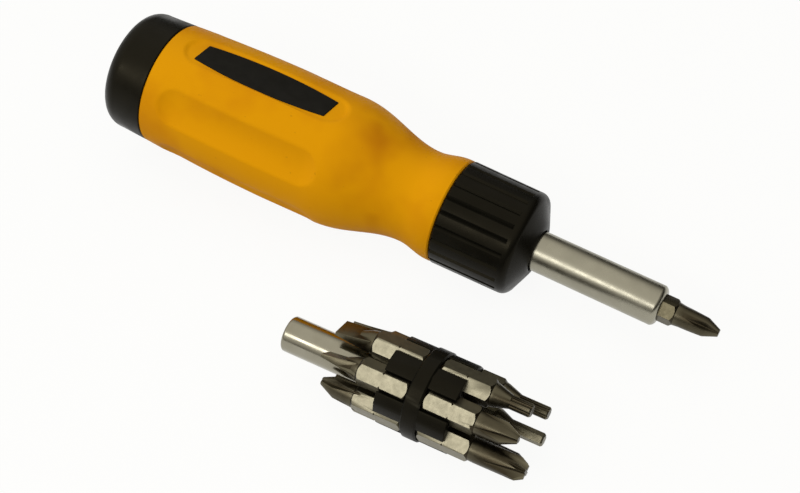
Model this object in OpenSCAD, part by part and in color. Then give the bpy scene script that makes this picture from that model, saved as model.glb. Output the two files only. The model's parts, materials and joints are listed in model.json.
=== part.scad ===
// Ratcheting screwdriver lying on a bench, with its bit carrier beside it.
// Lengths are in millimetres. The bench is the plane z = 0, +Z is up and the nose points along +X.
// Tool pieces are drawn along their own axis, with zero at the collar seam and the tip ahead.
// Angles round an axis start at the top and grow towards the carrier's side.

/* [Handle] */
// Length of the handle, from the cap seam to the collar seam
handle_len = 86.6; // [85:0.2:89]
// Radius of the handle at the cap seam
butt_r = 16.9; // [16.7:0.1:17.3]
// Radius of the belly, the handle's widest place
belly_r = 18.1; // [17.8:0.1:18.6]
// Radius of the shoulder, where the grip starts to fall to the neck
shoulder_r = 17.85; // [17.6:0.05:18]
// Radius of the neck
neck_r = 12.8; // [12.5:0.1:13.2]
// Radius of the flare that meets the collar
flare_r = 14.2; // [14:0.1:14.6]
// Distance of the belly behind the collar seam
belly_at = 51; // [48:1:54]
// Distance of the shoulder behind the collar seam
shoulder_at = 35; // [34:0.5:37]
// Distance of the neck behind the collar seam
neck_at = 10; // [9:0.5:11]
// Distance of the flare's rim behind the collar seam
flare_at = 1.5; // [1:0.1:2]
// Number of long scallops round the grip
scallops = 6; // [4:1:6]
// Distance of a scallop's back end ahead of the cap seam
scallop_back = 5.5; // [5:0.25:7]
// Distance of a scallop's front end behind the collar seam
scallop_at = 33.6; // [32.6:0.2:35]
// Width of a scallop's flat floor
scallop_w = 9.2; // [8.6:0.1:9.6]
// Depth of a scallop at its two ends
scallop_depth = 0.75; // [0.6:0.05:0.9]
// Radius of the storage hollow in the handle
storage_r = 12.4; // [12.1:0.1:12.6]
// Distance of the storage hollow's floor behind the collar seam
storage_at = 19.5; // [19:0.1:20.5]

/* [Label inlay] */
// Distance of the black inlay's ends from the ends of its scallop
label_end_gap = 4.05; // [3.5:0.05:5.5]
// Width of the inlay at its middle
label_mid_w = 9; // [8.6:0.1:9.2]
// Width of the inlay at its ends
label_end_w = 6.2; // [5.8:0.1:6.6]
// Thickness of the inlay
label_t = 0.8; // [0.7:0.05:0.9]

/* [End cap] */
// Length of the cap behind its seam
cap_len = 13; // [12.5:0.5:14]
// Radius of the cap's rounded back edge
cap_corner_r = 4.5; // [4:0.25:5]
// Thickness of the cap's back wall
cap_wall = 2.5; // [2.2:0.1:2.8]
// Radius of the plug that enters the handle
plug_r = 14.2; // [14:0.1:14.4]
// Length of the plug
plug_len = 8; // [7.5:0.25:8.5]

/* [Collar] */
// Length of the smooth nose ahead of the ribbed part
nose_len = 5.5; // [5.2:0.1:5.9]
// Radius of the collar at the seam
collar_r = 14.3; // [14.1:0.05:14.5]
// Radius of the collar at the front of its ribs
collar_front_r = 14.1; // [14:0.05:14.2]
// Length of the ribbed part
rib_len = 19; // [18.6:0.1:19.4]
// Number of ribs round the collar
ribs = 22; // [18:1:24]
// Depth of a groove between two ribs
groove_depth = 0.65; // [0.5:0.05:0.75]
// Turn of the collar from one ratchet direction to the other, in degrees
selector_turn = 45; // [42:1:46]

/* [Shank] */
// Radius of the shank
shank_r = 5.4; // [5.3:0.05:5.5]
// Distance of the shank's mouth ahead of the collar seam
shank_at = 59.2; // [58:0.1:60]
// Width across flats of the hexagon bits
bit_af = 6.35; // [6.25:0.05:6.4]
// Length of each hexagon half of a bit
bit_hex_len = 13.7; // [13.3:0.1:14.3]
// Length of the round waist at the middle of a bit
bit_waist_len = 4.3; // [4.1:0.1:4.7]
// Length of the cross tip of the bit in the shank
driver_tip_len = 11.5; // [11.1:0.1:11.9]
// Length of hexagon that shows ahead of the shank's mouth
driver_shows = 4; // [3.7:0.1:4.3]

/* [Bit carrier] */
// Distance of the carrier's axis from the tool's axis, across the bench
carrier_away = 52.2; // [48:0.1:60]
// Distance of the carrier's disc ahead of the collar seam
carrier_ahead = 20.7; // [10:0.1:40]
// Radius of the carrier's disc
carrier_r = 11.65; // [11.6:0.05:11.9]
// Thickness of the disc
carrier_t = 4.2; // [4:0.1:4.5]
// Radius of the circle that the bits stand on
bit_ring_r = 7.95; // [7.95:0.01:8]
// Length of the fins on each face of the disc
fin_len = 7.4; // [7:0.1:8]
// Radius of the socket sleeve
sleeve_r = 4.65; // [4.6:0.01:4.68]
// Distance of the sleeve's open end from the disc's middle
sleeve_at = 39.2; // [38:0.1:41]

/* [Hidden] */
$fn = 64;
// How far every cut runs past the face that it opens
overrun = 0.5;
// Segments of a small round edge in a turned outline
arc_steps = 6;

// Clearances
seam_gap = 0.3;
seat_gap = 0.02;
run_gap = 0.06;
bit_gap = 0.06;
loose_gap = 0.25;

// Handle outline
grip_steps = 48;
shoulder_share = 1.08;
scallop_first = 58.75;
scallop_room = 1.8;
scallop_reach = belly_r - butt_r + scallop_room;
scallop_wall_share = 1.2;
scallop_len = handle_len - scallop_at - scallop_back;
scallop_run = scallop_len - scallop_w;
mouth_depth = plug_len + seam_gap;
mouth_r = plug_r + run_gap;
mouth_bevel = 0.6;

// Inlay
label_len = scallop_len - 2 * label_end_gap;
label_angle = scallop_first - 360 / scallops;
label_slant = 6;
label_sunk_share = 0.625;
label_sunk = label_t * label_sunk_share;
label_arc_sides = 180;
label_bulge = (label_mid_w - label_end_w) / 2;
label_arc_r = (pow(label_len / 2, 2) + pow(label_bulge, 2)) / (2 * label_bulge);

// Cap
cap_taper = 0.35;
cap_gap = 0.12;
seal_wire_r = 0.9;
seal_at = 4.5;
seal_sides = 32;
seal_mid_r = mouth_r - seal_wire_r - seat_gap;

// Ratchet housing: a stem in the neck and a drum under the collar
stem_r = 8.6;
stem_len = 17;
stem_ribs = 6;
stem_rib_out = 1.1;
stem_rib_w = 2;
stem_rib_len = 14;
drum_r = 11.05;
drum_step = 0.1;
drum_len = rib_len - drum_step;
collar_len = rib_len + nose_len;
chamber_at = 4.5;
chamber_len = 8.75;
chamber_r = 7.1;
bush_r = 8;
collar_bore_r = drum_r + run_gap;
nose_floor_at = drum_len + seam_gap;
rim_len = 0.4;
rim_at = rib_len + rim_len;
nose_r = 6.6;
nose_edge_r = 2.6;
nose_edge_turn = 60;
nose_mid_r = 8.4;
nose_fall = 0.8;
groove_first = 10.6;
collar_bevel = 0.4;
snap_back = 2.75;
snap_at = drum_len - snap_back;
snap_w = 0.8;
snap_deep = 0.5;
snap_out = 0.45;
snap_split = 24;
snap_split_at = 90;

// Gear and pawls
teeth = 24;
gear_r = 6.8;
tooth_depth = 0.8;
tooth_top_share = 0.2;
tooth_root_share = 0.7;
gear_at = 5.08;
gear_len = 7.87;
washer_t = 0.45;
pivot_r = 9.4;
pin_r = 0.9;
pin_from = 2.5;
pin_to = 15.4;
nose_angle = 22.5;
nose_swing = 45.7;
pivot_angle = nose_angle + nose_swing;
pawl_share = 0.2;
pawl_turn = selector_turn * pawl_share;
pawl_len = gear_len - 2 * loose_gap;
pawl_at = gear_at + loose_gap;
window_len = gear_len - 2 * run_gap;
window_at = gear_at + run_gap;
window_nose = 57;
window_tail = 27;
pawl_steps = 4;
pawl_tip_half = 1.4;
pawl_foot_half = 4.1;
pawl_bite_share = 0.75;
pawl_foot_share = 0.1;
pawl_clear = 0.15;
pawl_rise = 0.35;
pawl_root = 38;
pawl_out = 1.5;
pawl_fall = 1.9;
pawl_reach = 50;
tail_r = 11.6;
tail_angle = 18;
tail_half = 2.5;
tail_t = 1.4;
tail_fall = 0.2;
tail_lift = 0.53;
cam_gap = 0.13;
cam_margin = 5;
cam_steps = 12;
leaf_t = 0.2;
leaf_w = 3.4;
leaf_turn = 40;
leaf_under = 0.17;
leaf_play = 1;

// Detent
detent_at = 9;
ball_r = 1;
ball_out = 0.5;
ball_travel = 0.4;
detent_angle = 180;
detent_hole_r = ball_r + run_gap;
detent_floor_r = 7.5;
detent_notch_share = 0.8;
detent_wire_r = 0.17;
detent_turns = 3;
coil_sides = 6;
coil_rings = 8;

// Shank and bit
bearing_step = 0.4;
bearing_r = shank_r - bearing_step;
journal_r = 3.6;
shank_back = 15.8;
gear_seat_r = 4.6;
gear_flat = 4.05;
shoulder_step = gear_at + gear_len + seat_gap;
mouth_bevel_r = 1.2;
mouth_bevel_len = 1;
circlip_groove_r = 3;
circlip_at = 14.5;
circlip_t = 0.7;
circlip_r = 5.2;
circlip_open = 60;
circlip_room_r = 6.2;
circlip_room_at = 12.9;
shank_washer_r = 5.8;
socket_af = bit_af + 2 * bit_gap;
socket_bore_r = 3.35;
ring_groove_r = 4.45;
ring_w = 0.7;
ring_split = 40;
magnet_r = 3;
magnet_len = 3;
bit_corner_r = bit_af / (2 * cos(30));
bit_bevel = 0.8;
bit_bevel_in_share = 0.25;
bit_waist_r = 2.75;
nick_w = 0.5;
nick_at = 6.7;
nick_deep = 0.2;
back_tip_len = 10.5;
driver_mid = shank_at + driver_shows - bit_hex_len - bit_waist_len / 2;
driver_front = shank_at + driver_shows + driver_tip_len;
driver_back = driver_mid - bit_waist_len / 2 - bit_hex_len - back_tip_len;
magnet_at = driver_back - seam_gap / 2 - magnet_len;
bit_face_angle = 45.75;
wing_angle = 38.75;

// Tips: lengths past the hexagon's end face and turns round the bit, hole by hole
front_lens = [10.4, 14, 12, 12.7, 12.3, 10];
back_lens = [9.9, 9.4, 9.5, 9.5, 9.5, 9.9];
front_turns = [20, 55, 30, 0, 0, 0];
back_turns = [-85, 10, 30, 45, -11, 0];
tip_neck_r = 3.05;
neck_run = 1.6;
neck_len = 4.5;
neck_taper_share = 0.9;
wing_taper_share = 0.95;
tip_edge_share = 0.8;
driver_cross_r = 2.85;
cross_r = 2.95;
small_cross_r = 2.35;
pozi_r = 3.1;
cross_end_share = 0.36;
pozi_end_share = 0.68;
wings = 4;
cross_web = 0.6;
cross_lean = 13;
cone_lean = 26.5;
pozi_nick = 0.35;
blade_t = 1;
blade_w = 5.2;
wide_blade_w = 6;
small_blade_w = 4.5;
blade_slope_share = 0.62;
torx_r = 1.75;
small_torx_r = 1.65;
torx_share = 0.24;
torx_reach_share = 1.02;
star_lobes = 6;
star_sides = 24;
hex_key_r = 1.73;
square_key_r = 1.9;

// Lying place: the belly's ring ahead of the scallops and the collar's front rim touch the bench
rest_r = grip_r(-scallop_at);
tilt = asin((rest_r - collar_front_r) / (scallop_at + rim_at));
tool_h = (rest_r + collar_front_r) / 2 * cos(tilt) + (rim_at - scallop_at) / 2 * sin(tilt);
tool_back = (handle_len + cap_len) * cos(tilt) + (butt_r - cap_taper - cap_corner_r) * sin(tilt);
tool_front = driver_front * cos(tilt);
tool_x = (tool_back - tool_front) / 2;
tool_y = (carrier_away + carrier_r - belly_r) / 2;

// Carrier
carrier_h = carrier_r;
carrier_x = tool_x + carrier_ahead;
carrier_y = tool_y - carrier_away;
ring_first = 41;
bits = 6;
hole_af = bit_af + 2 * bit_gap;
fin_stem_w = 1.2;
fin_head_w = 5.8;
fin_in_r = sleeve_r + loose_gap;
post_r = 2.9;
post_len = 12;
sleeve_socket_len = 14;
sleeve_bore_len = post_len + loose_gap;
sleeve_bevel = 0.5;

// Share of the way from 0 to 1, slow at both ends
function ease(t) = (1 - cos(180 * t)) / 2;

// Radius of the grip at a place along the axis
function grip_r(z) =
    z < -belly_at ? belly_r - (belly_r - butt_r) * pow((-belly_at - z) / (handle_len - belly_at), 2)
    : z < -shoulder_at ? belly_r - (belly_r - shoulder_r) * (z + belly_at) / (belly_at - shoulder_at)
    : z < -neck_at ? shoulder_r - (shoulder_r - neck_r)
        * ease(pow((z + shoulder_at) / (shoulder_at - neck_at), shoulder_share))
    : z < -flare_at ? neck_r + (flare_r - neck_r) * ease((z + neck_at) / (neck_at - flare_at))
    : flare_r;

// Points along a round edge, from one angle to another
function arc(x, y, r, from, to) = [for (i = [0:arc_steps])
    let (a = from + (to - from) * i / arc_steps) [x + r * cos(a), y + r * sin(a)]];

// A point at a radius and an angle
function polar(r, a) = [r * cos(a), r * sin(a)];

module on_tool()
    translate([tool_x, tool_y, tool_h]) rotate([0, 90 + tilt, 0]) rotate([0, 0, 180]) children();
module on_carrier()
    translate([carrier_x, carrier_y, carrier_h]) rotate([0, 90, 0]) rotate([0, 0, 180]) children();
module around(angle) rotate([0, 0, angle]) children();

// Solid of revolution from points of radius and height
module turned(points) rotate_extrude() polygon(points);

// Round bar from one height to another
module bar(r, from, to) translate([0, 0, from]) cylinder(h = to - from, r = r);

// Ring between two radii and two heights
module ring(inner, outer, from, to)
    rotate_extrude() translate([inner, from]) square([outer - inner, to - from]);

// Part of a ring, open between two angles
module sector(inner, outer, from, to, start, end)
    around(start) rotate_extrude(angle = end - start)
        translate([inner, from]) square([outer - inner, to - from]);

// Hexagon bar with a flat facing angle zero
module hex_bar(af, from, to) translate([0, 0, from]) rotate([0, 0, 30])
    cylinder(h = to - from, r = af / (2 * cos(30)), $fn = 6);

// Carries its children to the floor of the scallop at an angle, at the middle of the scallop's back end
module on_floor(angle) {
    back = -scallop_at - scallop_len + scallop_w / 2;
    lean = atan2(grip_r(-scallop_at) - grip_r(back), scallop_run);
    around(angle) translate([grip_r(back) - scallop_depth, 0, back]) rotate([0, lean, 0]) children();
}

// Long shallow recess with a flat floor, sloped walls and round ends
module scallop_cut(angle) on_floor(angle) {
    half = scallop_w / 2;
    top = half + scallop_reach * scallop_wall_share;
    linear_extrude(height = scallop_run)
        polygon([[0, -half], [scallop_reach, -top], [scallop_reach, top], [0, half]]);
    for (i = [0, 1]) translate([0, 0, i * scallop_run]) rotate([0, 90, 0]) around(90 + 180 * i)
        rotate_extrude(angle = -180) polygon([[0, 0], [half, 0], [top, scallop_reach], [0, scallop_reach]]);
}

// Plan of the inlay: bowed long sides and slanted ends, drawn along X
module label_plan(grow) {
    half = label_len / 2 + grow;
    shift = label_mid_w / 2 * tan(label_slant);
    wide = label_mid_w / 2 + grow;
    intersection() {
        polygon([[-half - shift, -wide], [half - shift, -wide], [half + shift, wide],
            [-half + shift, wide]]);
        translate([0, wide - label_arc_r]) circle(r = label_arc_r, $fn = label_arc_sides);
        translate([0, label_arc_r - wide]) circle(r = label_arc_r, $fn = label_arc_sides);
    }
}

// Places the inlay's plan on the floor of the top scallop
module on_label_floor(lift) on_floor(label_angle)
    translate([lift, 0, scallop_run / 2]) rotate([0, 90, 0]) children();

module handle() color("goldenrod") on_tool() difference() {
    turned(concat(
        [[0, -handle_len]],
        [for (i = [0:grip_steps]) let (z = -handle_len + (handle_len - seam_gap) * i / grip_steps)
            [grip_r(z), z]],
        [[0, -seam_gap]]));
    bar(mouth_r, -handle_len - overrun, -handle_len + mouth_depth);
    turned([[0, -handle_len - overrun], [mouth_r + mouth_bevel + overrun, -handle_len - overrun],
        [mouth_r, -handle_len + mouth_bevel], [0, -handle_len + mouth_bevel]]);
    bar(storage_r, -handle_len, -storage_at);
    bar(stem_r + seat_gap, -stem_len - seat_gap, 0);
    for (i = [0:stem_ribs - 1]) stem_rib(i, seat_gap);
    for (i = [0:scallops - 1]) scallop_cut(scallop_first + i * 360 / scallops);
    on_label_floor(-label_sunk) linear_extrude(height = label_t + overrun) label_plan(seat_gap);
}

module label_inlay() color([0.12, 0.11, 0.09]) on_tool()
    on_label_floor(-label_sunk) linear_extrude(height = label_t) label_plan(0);

module end_cap() color([0.13, 0.12, 0.1]) on_tool() {
    front = -handle_len - cap_gap;
    back = -handle_len - cap_len;
    side_r = butt_r - cap_taper;
    edge_at = seal_at - handle_len;
    inner_end = plug_len - handle_len;
    difference() {
        turned(concat([[0, back]],
            arc(side_r - cap_corner_r, back + cap_corner_r, cap_corner_r, -90, 0),
            [[butt_r, front], [plug_r, front], [plug_r, inner_end], [0, inner_end]]));
        bar(storage_r, back + cap_wall, inner_end + overrun);
        ring(seal_mid_r - seal_wire_r - seat_gap, plug_r + overrun,
            edge_at - seal_wire_r - seat_gap, edge_at + seal_wire_r + seat_gap);
    }
}

module cap_seal_ring() color([0.08, 0.08, 0.08]) on_tool()
    translate([0, 0, seal_at - handle_len]) rotate_extrude()
        translate([seal_mid_r, 0]) circle(r = seal_wire_r, $fn = seal_sides);

// One of the ribs that key the housing's stem into the neck
module stem_rib(i, grow) around(i * 360 / stem_ribs)
    translate([0, -stem_rib_w / 2 - grow, -stem_rib_len - grow])
        cube([stem_r + stem_rib_out + grow, stem_rib_w + 2 * grow,
            stem_rib_len + grow - (grow > 0 ? 0 : seam_gap)]);

module ratchet_housing() color([0.62, 0.62, 0.6]) on_tool() difference() {
    union() {
        bar(drum_r, -seam_gap, drum_len);
        bar(stem_r, -stem_len, -seam_gap + seat_gap);
        for (i = [0:stem_ribs - 1]) stem_rib(i, 0);
    }
    bar(journal_r + run_gap, -stem_len - overrun, chamber_at + overrun);
    bar(circlip_room_r, -stem_len - overrun, -circlip_room_at);
    bar(chamber_r, chamber_at, chamber_at + chamber_len);
    bar(bush_r + seat_gap, chamber_at + chamber_len, drum_len + overrun);
    sector(chamber_r - overrun, drum_r + overrun, window_at, window_at + window_len,
        pivot_angle - window_nose, pivot_angle + window_tail);
    sector(chamber_r - overrun, drum_r + overrun, window_at, window_at + window_len,
        -pivot_angle - window_tail, -pivot_angle + window_nose);
    for (side = [-1, 1]) around(side * pivot_angle) translate([pivot_r, 0, 0])
        bar(pin_r + seat_gap, pin_from, pin_to + seat_gap);
    sector(leaf_in_r() - seat_gap, drum_r + overrun, leaf_mid() - leaf_w / 2 - run_gap,
        leaf_mid() + leaf_w / 2 + run_gap, -leaf_turn, leaf_turn);
    around(detent_angle) translate([0, 0, detent_at]) rotate([0, 90, 0])
        bar(detent_hole_r, detent_floor_r, drum_r + overrun);
    ring(drum_r - snap_deep - seat_gap, drum_r + overrun,
        snap_at - seat_gap, snap_at + snap_w + seat_gap);
}

function leaf_in_r() = drum_r - leaf_under - leaf_t;
function leaf_mid() = pawl_at + pawl_len / 2;

module selector_collar() color([0.15, 0.14, 0.12]) on_tool() difference() {
    groove_side = groove_depth * sqrt(2) + overrun;
    turned(concat(
        [[0, 0], [collar_r - collar_bevel, 0], [collar_r, collar_bevel], [collar_front_r, rim_at]],
        arc(collar_front_r - nose_edge_r, rim_at, nose_edge_r, 0, nose_edge_turn),
        [[nose_mid_r, collar_len - nose_fall], [nose_r, collar_len], [0, collar_len]]));
    bar(collar_bore_r, -overrun, nose_floor_at);
    bar(shank_r + loose_gap, 0, collar_len + overrun);
    for (i = [0:ribs - 1]) around(groove_first + i * 360 / ribs)
        translate([collar_front_r, 0, -overrun]) rotate([0, 0, 45])
            translate([-groove_depth / sqrt(2), -groove_depth / sqrt(2), 0])
                cube([groove_side, groove_side, rib_len + overrun]);
    cam_cut(pivot_angle + tail_angle, tail_r + cam_gap, tail_r - tail_lift + cam_gap);
    cam_cut(-pivot_angle - tail_angle, tail_r - tail_lift + cam_gap, tail_r + cam_gap);
    sector(collar_bore_r - overrun, drum_r + ball_out + run_gap, detent_at - detent_hole_r,
        detent_at + detent_hole_r, detent_angle - selector_turn - cam_margin, detent_angle + cam_margin);
    for (i = [0:2]) around(detent_angle - selector_turn * i / 2) translate([0, 0, detent_at])
        rotate([0, 90, 0]) bar(ball_r * detent_notch_share, drum_r, drum_r + ball_out + loose_gap);
    ring(collar_bore_r - overrun, drum_r + snap_out + run_gap,
        snap_at - run_gap, snap_at + snap_w + run_gap);
}

// Pocket in the collar that lets a pawl's tail out at one end and presses it in at the other
module cam_cut(tail_at, r_rest, r_turned) translate([0, 0, window_at]) linear_extrude(height = window_len)
    polygon(concat(
        [for (i = [-1:cam_steps + 1]) let (t = max(0, min(1, i / cam_steps)),
            a = tail_at - t * selector_turn - (i < 0 ? -cam_margin : i > cam_steps ? cam_margin : 0))
            polar(r_rest + (r_turned - r_rest) * t, a)],
        [for (i = [cam_steps:-1:0]) polar(drum_r - overrun, tail_at - i / cam_steps * selector_turn)]));

module collar_snap_ring() color([0.55, 0.55, 0.55]) on_tool()
    around(snap_split_at) sector(drum_r - snap_deep, drum_r + snap_out, snap_at, snap_at + snap_w,
        snap_split / 2, 360 - snap_split / 2);

// A pawl: a curved lever with one tooth at its nose and a tail for the cam, on a pin
function at(r, a) = [r * cos(a) - pivot_r, r * sin(a)];
module pawl_shape() difference() {
    tip_r = gear_r - tooth_depth * pawl_bite_share;
    foot_r = gear_r + tooth_depth * pawl_foot_share;
    translate([0, 0, pawl_at]) linear_extrude(height = pawl_len) polygon(concat(
        [at(foot_r, -nose_swing - pawl_foot_half), at(tip_r, -nose_swing - pawl_tip_half),
            at(tip_r, -nose_swing + pawl_tip_half), at(foot_r, -nose_swing + pawl_foot_half)],
        [for (i = [0:pawl_steps]) let (t = i / pawl_steps)
            at(chamber_r + pawl_clear + pawl_rise * t, -pawl_root * (1 - t))],
        [at(pivot_r - pin_r, tail_angle / 2), at(pivot_r, tail_angle - tail_half),
            at(tail_r - tail_t, tail_angle + tail_half), at(tail_r, tail_angle + tail_half),
            at(tail_r - tail_fall, tail_angle - tail_half)],
        [for (i = [0:pawl_steps]) let (t = i / pawl_steps)
            at(pivot_r + pawl_out - pawl_fall * t, -pawl_reach * t)]));
    bar(pin_r + run_gap, pawl_at - overrun, pawl_at + pawl_len + overrun);
}

module forward_pawl() color([0.7, 0.68, 0.62]) on_tool()
    around(pivot_angle) translate([pivot_r, 0, 0]) pawl_shape();

module reverse_pawl() color([0.6, 0.58, 0.52]) on_tool()
    around(-pivot_angle) translate([pivot_r, 0, 0]) rotate([0, 0, -pawl_turn])
        mirror([0, 1, 0]) pawl_shape();

module pawl_pins() color([0.75, 0.75, 0.75]) on_tool()
    for (side = [-1, 1]) around(side * pivot_angle) translate([pivot_r, 0, 0])
        bar(pin_r, pin_from + seat_gap, pin_to);

module pawl_leaf_spring() color([0.5, 0.52, 0.58]) on_tool()
    sector(leaf_in_r(), leaf_in_r() + leaf_t, leaf_mid() - leaf_w / 2, leaf_mid() + leaf_w / 2,
        -leaf_turn + leaf_play, leaf_turn - leaf_play);

module detent_ball() color([0.8, 0.8, 0.8]) on_tool()
    around(detent_angle) translate([drum_r + ball_out - ball_r, 0, detent_at]) sphere(r = ball_r);

// Coil of round wire that climbs along +Z from zero
module coil(mean_r, wire_r, turns, height) {
    count = turns * coil_rings;
    climb = (height - 2 * wire_r) / count;
    points = [for (i = [0:count]) let (a = 360 * i / coil_rings, z = wire_r + climb * i)
        for (j = [0:coil_sides - 1]) let (b = 360 * j / coil_sides, r = mean_r + wire_r * cos(b))
            [r * cos(a), r * sin(a), z + wire_r * sin(b)]];
    sides = [for (i = [0:count - 1]) for (j = [0:coil_sides - 1])
        let (k = (j + 1) % coil_sides, p = i * coil_sides, q = p + coil_sides)
            [p + j, p + k, q + k, q + j]];
    polyhedron(points, concat([[for (j = [coil_sides - 1:-1:0]) j]],
        [for (f = sides) [f[0], f[1], f[2]]], [for (f = sides) [f[0], f[2], f[3]]],
        [[for (j = [0:coil_sides - 1]) count * coil_sides + j]]));
}

module detent_spring() color([0.7, 0.7, 0.72]) on_tool()
    around(detent_angle) translate([detent_floor_r + seat_gap, 0, detent_at]) rotate([0, 90, 0])
        coil(detent_hole_r - detent_wire_r - run_gap, detent_wire_r, detent_turns,
            drum_r + ball_out - 2 * ball_r - ball_travel - detent_floor_r - run_gap);

module front_bushing() color("peru") on_tool()
    ring(bearing_r + run_gap, bush_r, chamber_at + chamber_len + seat_gap, drum_len);

module shank() color([0.78, 0.78, 0.76]) on_tool() difference() {
    union() {
        turned([[0, -shank_back], [journal_r, -shank_back], [journal_r, gear_at], [0, gear_at]]);
        intersection() {
            bar(gear_seat_r, gear_at - seat_gap, shoulder_step + seat_gap);
            translate([-gear_flat, -gear_seat_r, 0])
                cube([2 * gear_flat, 2 * gear_seat_r, shoulder_step + overrun]);
        }
        turned([[0, shoulder_step], [bearing_r, shoulder_step], [bearing_r, collar_len + seam_gap],
            [shank_r, collar_len + seam_gap], [shank_r, shank_at - mouth_bevel_len],
            [shank_r - mouth_bevel_r, shank_at], [0, shank_at]]);
    }
    bar(socket_bore_r, magnet_at + magnet_len, shank_at + overrun);
    bar(magnet_r + seat_gap, magnet_at - seat_gap, magnet_at + magnet_len + overrun);
    around(bit_face_angle) hex_bar(socket_af, driver_mid - bit_waist_len / 2 - bit_hex_len - seam_gap,
        shank_at + overrun);
    bar(ring_groove_r, snap_ring_from() - seat_gap, snap_ring_from() + ring_w + seat_gap);
    ring(circlip_groove_r, journal_r + overrun,
        -circlip_at - seat_gap, -circlip_at + circlip_t + seat_gap);
}

function snap_ring_from() = shank_at + driver_shows - nick_at - ring_w / 2;

// Toothed wheel with two flats in its bore
module ratchet_gear() color([0.66, 0.64, 0.6]) on_tool() difference() {
    pitch = 360 / teeth;
    top = pitch * tooth_top_share / 2;
    root = pitch * tooth_root_share / 2;
    translate([0, 0, gear_at]) linear_extrude(height = gear_len) polygon([for (i = [0:teeth - 1])
        for (p = [[gear_r - tooth_depth, -root], [gear_r, -top], [gear_r, top],
            [gear_r - tooth_depth, root]])
            polar(p[0], i * pitch + p[1])]);
    intersection() {
        bar(gear_seat_r + seat_gap, gear_at - overrun, gear_at + gear_len + overrun);
        translate([-gear_flat - seat_gap, -gear_r, 0])
            cube([2 * (gear_flat + seat_gap), 2 * gear_r, gear_at + gear_len + overrun]);
    }
}

module gear_washer() color([0.8, 0.75, 0.6]) on_tool()
    ring(journal_r + run_gap, chamber_r - 2 * loose_gap,
        chamber_at + seat_gap, chamber_at + seat_gap + washer_t);

module shank_washer() color([0.72, 0.7, 0.66]) on_tool()
    ring(journal_r + run_gap, shank_washer_r,
        -circlip_at + circlip_t + 2 * run_gap, -circlip_room_at - run_gap);

module shank_circlip() color([0.35, 0.35, 0.36]) on_tool()
    sector(circlip_groove_r + seat_gap, circlip_r, -circlip_at, -circlip_at + circlip_t,
        circlip_open / 2, 360 - circlip_open / 2);

module bit_magnet() color([0.45, 0.45, 0.47]) on_tool() bar(magnet_r, magnet_at, magnet_at + magnet_len);

module bit_snap_ring() color([0.5, 0.5, 0.5]) on_tool()
    sector(socket_af / (2 * cos(30)) + bit_gap, ring_groove_r - seat_gap, snap_ring_from(),
        snap_ring_from() + ring_w, ring_split / 2, 360 - ring_split / 2);

// Waist and one hexagon half of a bit, from the middle forwards
module bit_half() {
    shoulder = bit_waist_len / 2;
    end = shoulder + bit_hex_len;
    low_r = bit_af / 2 - bit_bevel * bit_bevel_in_share;
    bar(bit_waist_r, 0, shoulder + bit_bevel);
    difference() {
        intersection() {
            hex_bar(bit_af, shoulder, end);
            turned([[0, shoulder], [low_r, shoulder], [bit_corner_r, shoulder + bit_bevel],
                [bit_corner_r, end - bit_bevel], [low_r, end], [0, end]]);
        }
        turned([[bit_corner_r - nick_deep, end - nick_at], [bit_corner_r + overrun, end - nick_at - nick_w],
            [bit_corner_r + overrun, end - nick_at + nick_w]]);
    }
}

// Cross point with four flutes, from z = 0 to its flat end
module cross_tip(len, r, end_r = 0) {
    flat_r = end_r > 0 ? end_r : r * cross_end_share;
    cone = (r - flat_r) / tan(cone_lean);
    difference() {
        turned([[0, -overrun], [tip_neck_r, -overrun], [tip_neck_r, 0], [r, neck_run],
            [r * wing_taper_share, len - cone], [flat_r, len], [0, len]]);
        for (i = [0:wings - 1]) around(i * 360 / wings)
            translate([cross_web, 0, len]) rotate([0, -cross_lean, 0]) translate([0, 0, -len])
                linear_extrude(height = len + bit_af) polygon([[0, 0], [bit_af, -bit_af], [bit_af, bit_af]]);
    }
}

// Cross point with a second, fine cross of nicks between its wings
module pozi_tip(len, r) difference() {
    end_r = r * pozi_end_share;
    cross_tip(len, r, end_r);
    for (i = [0:wings - 1]) around((i + 0.5) * 360 / wings) translate([end_r, 0, len - neck_run])
        rotate([0, -cone_lean, 0]) translate([-pozi_nick / 2, -pozi_nick / 2, -neck_run])
            cube([bit_af, pozi_nick, len]);
}

// Round neck that a key point grows out of
module tip_neck(r)
    turned([[0, -overrun], [tip_neck_r, -overrun], [tip_neck_r, 0], [r, neck_len], [0, neck_len]]);

// Cylinder with a worn end edge that a key point is cut from
module tip_blank(len, r) turned([[0, neck_len - overrun], [r, neck_len - overrun],
    [r, len - r * (1 - tip_edge_share)], [r * tip_edge_share, len], [0, len]]);

// Six-lobed star point
module star_tip(len, r) {
    tip_neck(r);
    difference() {
        tip_blank(len, r);
        for (i = [0:star_lobes - 1]) around((i + 0.5) * 360 / star_lobes)
            translate([r * torx_reach_share, 0, neck_len - overrun / 2])
                cylinder(h = len, r = r * torx_share, $fn = star_sides);
    }
}

// Flat-sided key point, with four or six sides
module key_tip(len, r, sides) {
    tip_neck(r * cos(180 / sides));
    intersection() {
        tip_blank(len, r);
        cylinder(h = len, r = r, $fn = sides);
    }
}

// Screwdriver blade: a round neck ground down to a wedge
module blade_tip(len, w) {
    neck_r = tip_neck_r * neck_taper_share;
    from = neck_run - seat_gap;
    slope = len * blade_slope_share;
    turned([[0, -overrun], [tip_neck_r, -overrun], [tip_neck_r, 0], [neck_r, neck_run], [0, neck_run]]);
    intersection() {
        translate([0, w / 2, 0]) rotate([90, 0, 0]) linear_extrude(height = w) polygon([
            [-neck_r, from], [-blade_t, slope], [-blade_t / 2, len],
            [blade_t / 2, len], [blade_t, slope], [neck_r, from]]);
        turned([[0, 0], [neck_r, from], [bit_af / 2, slope], [bit_af / 2, len], [0, len]]);
    }
}

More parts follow.
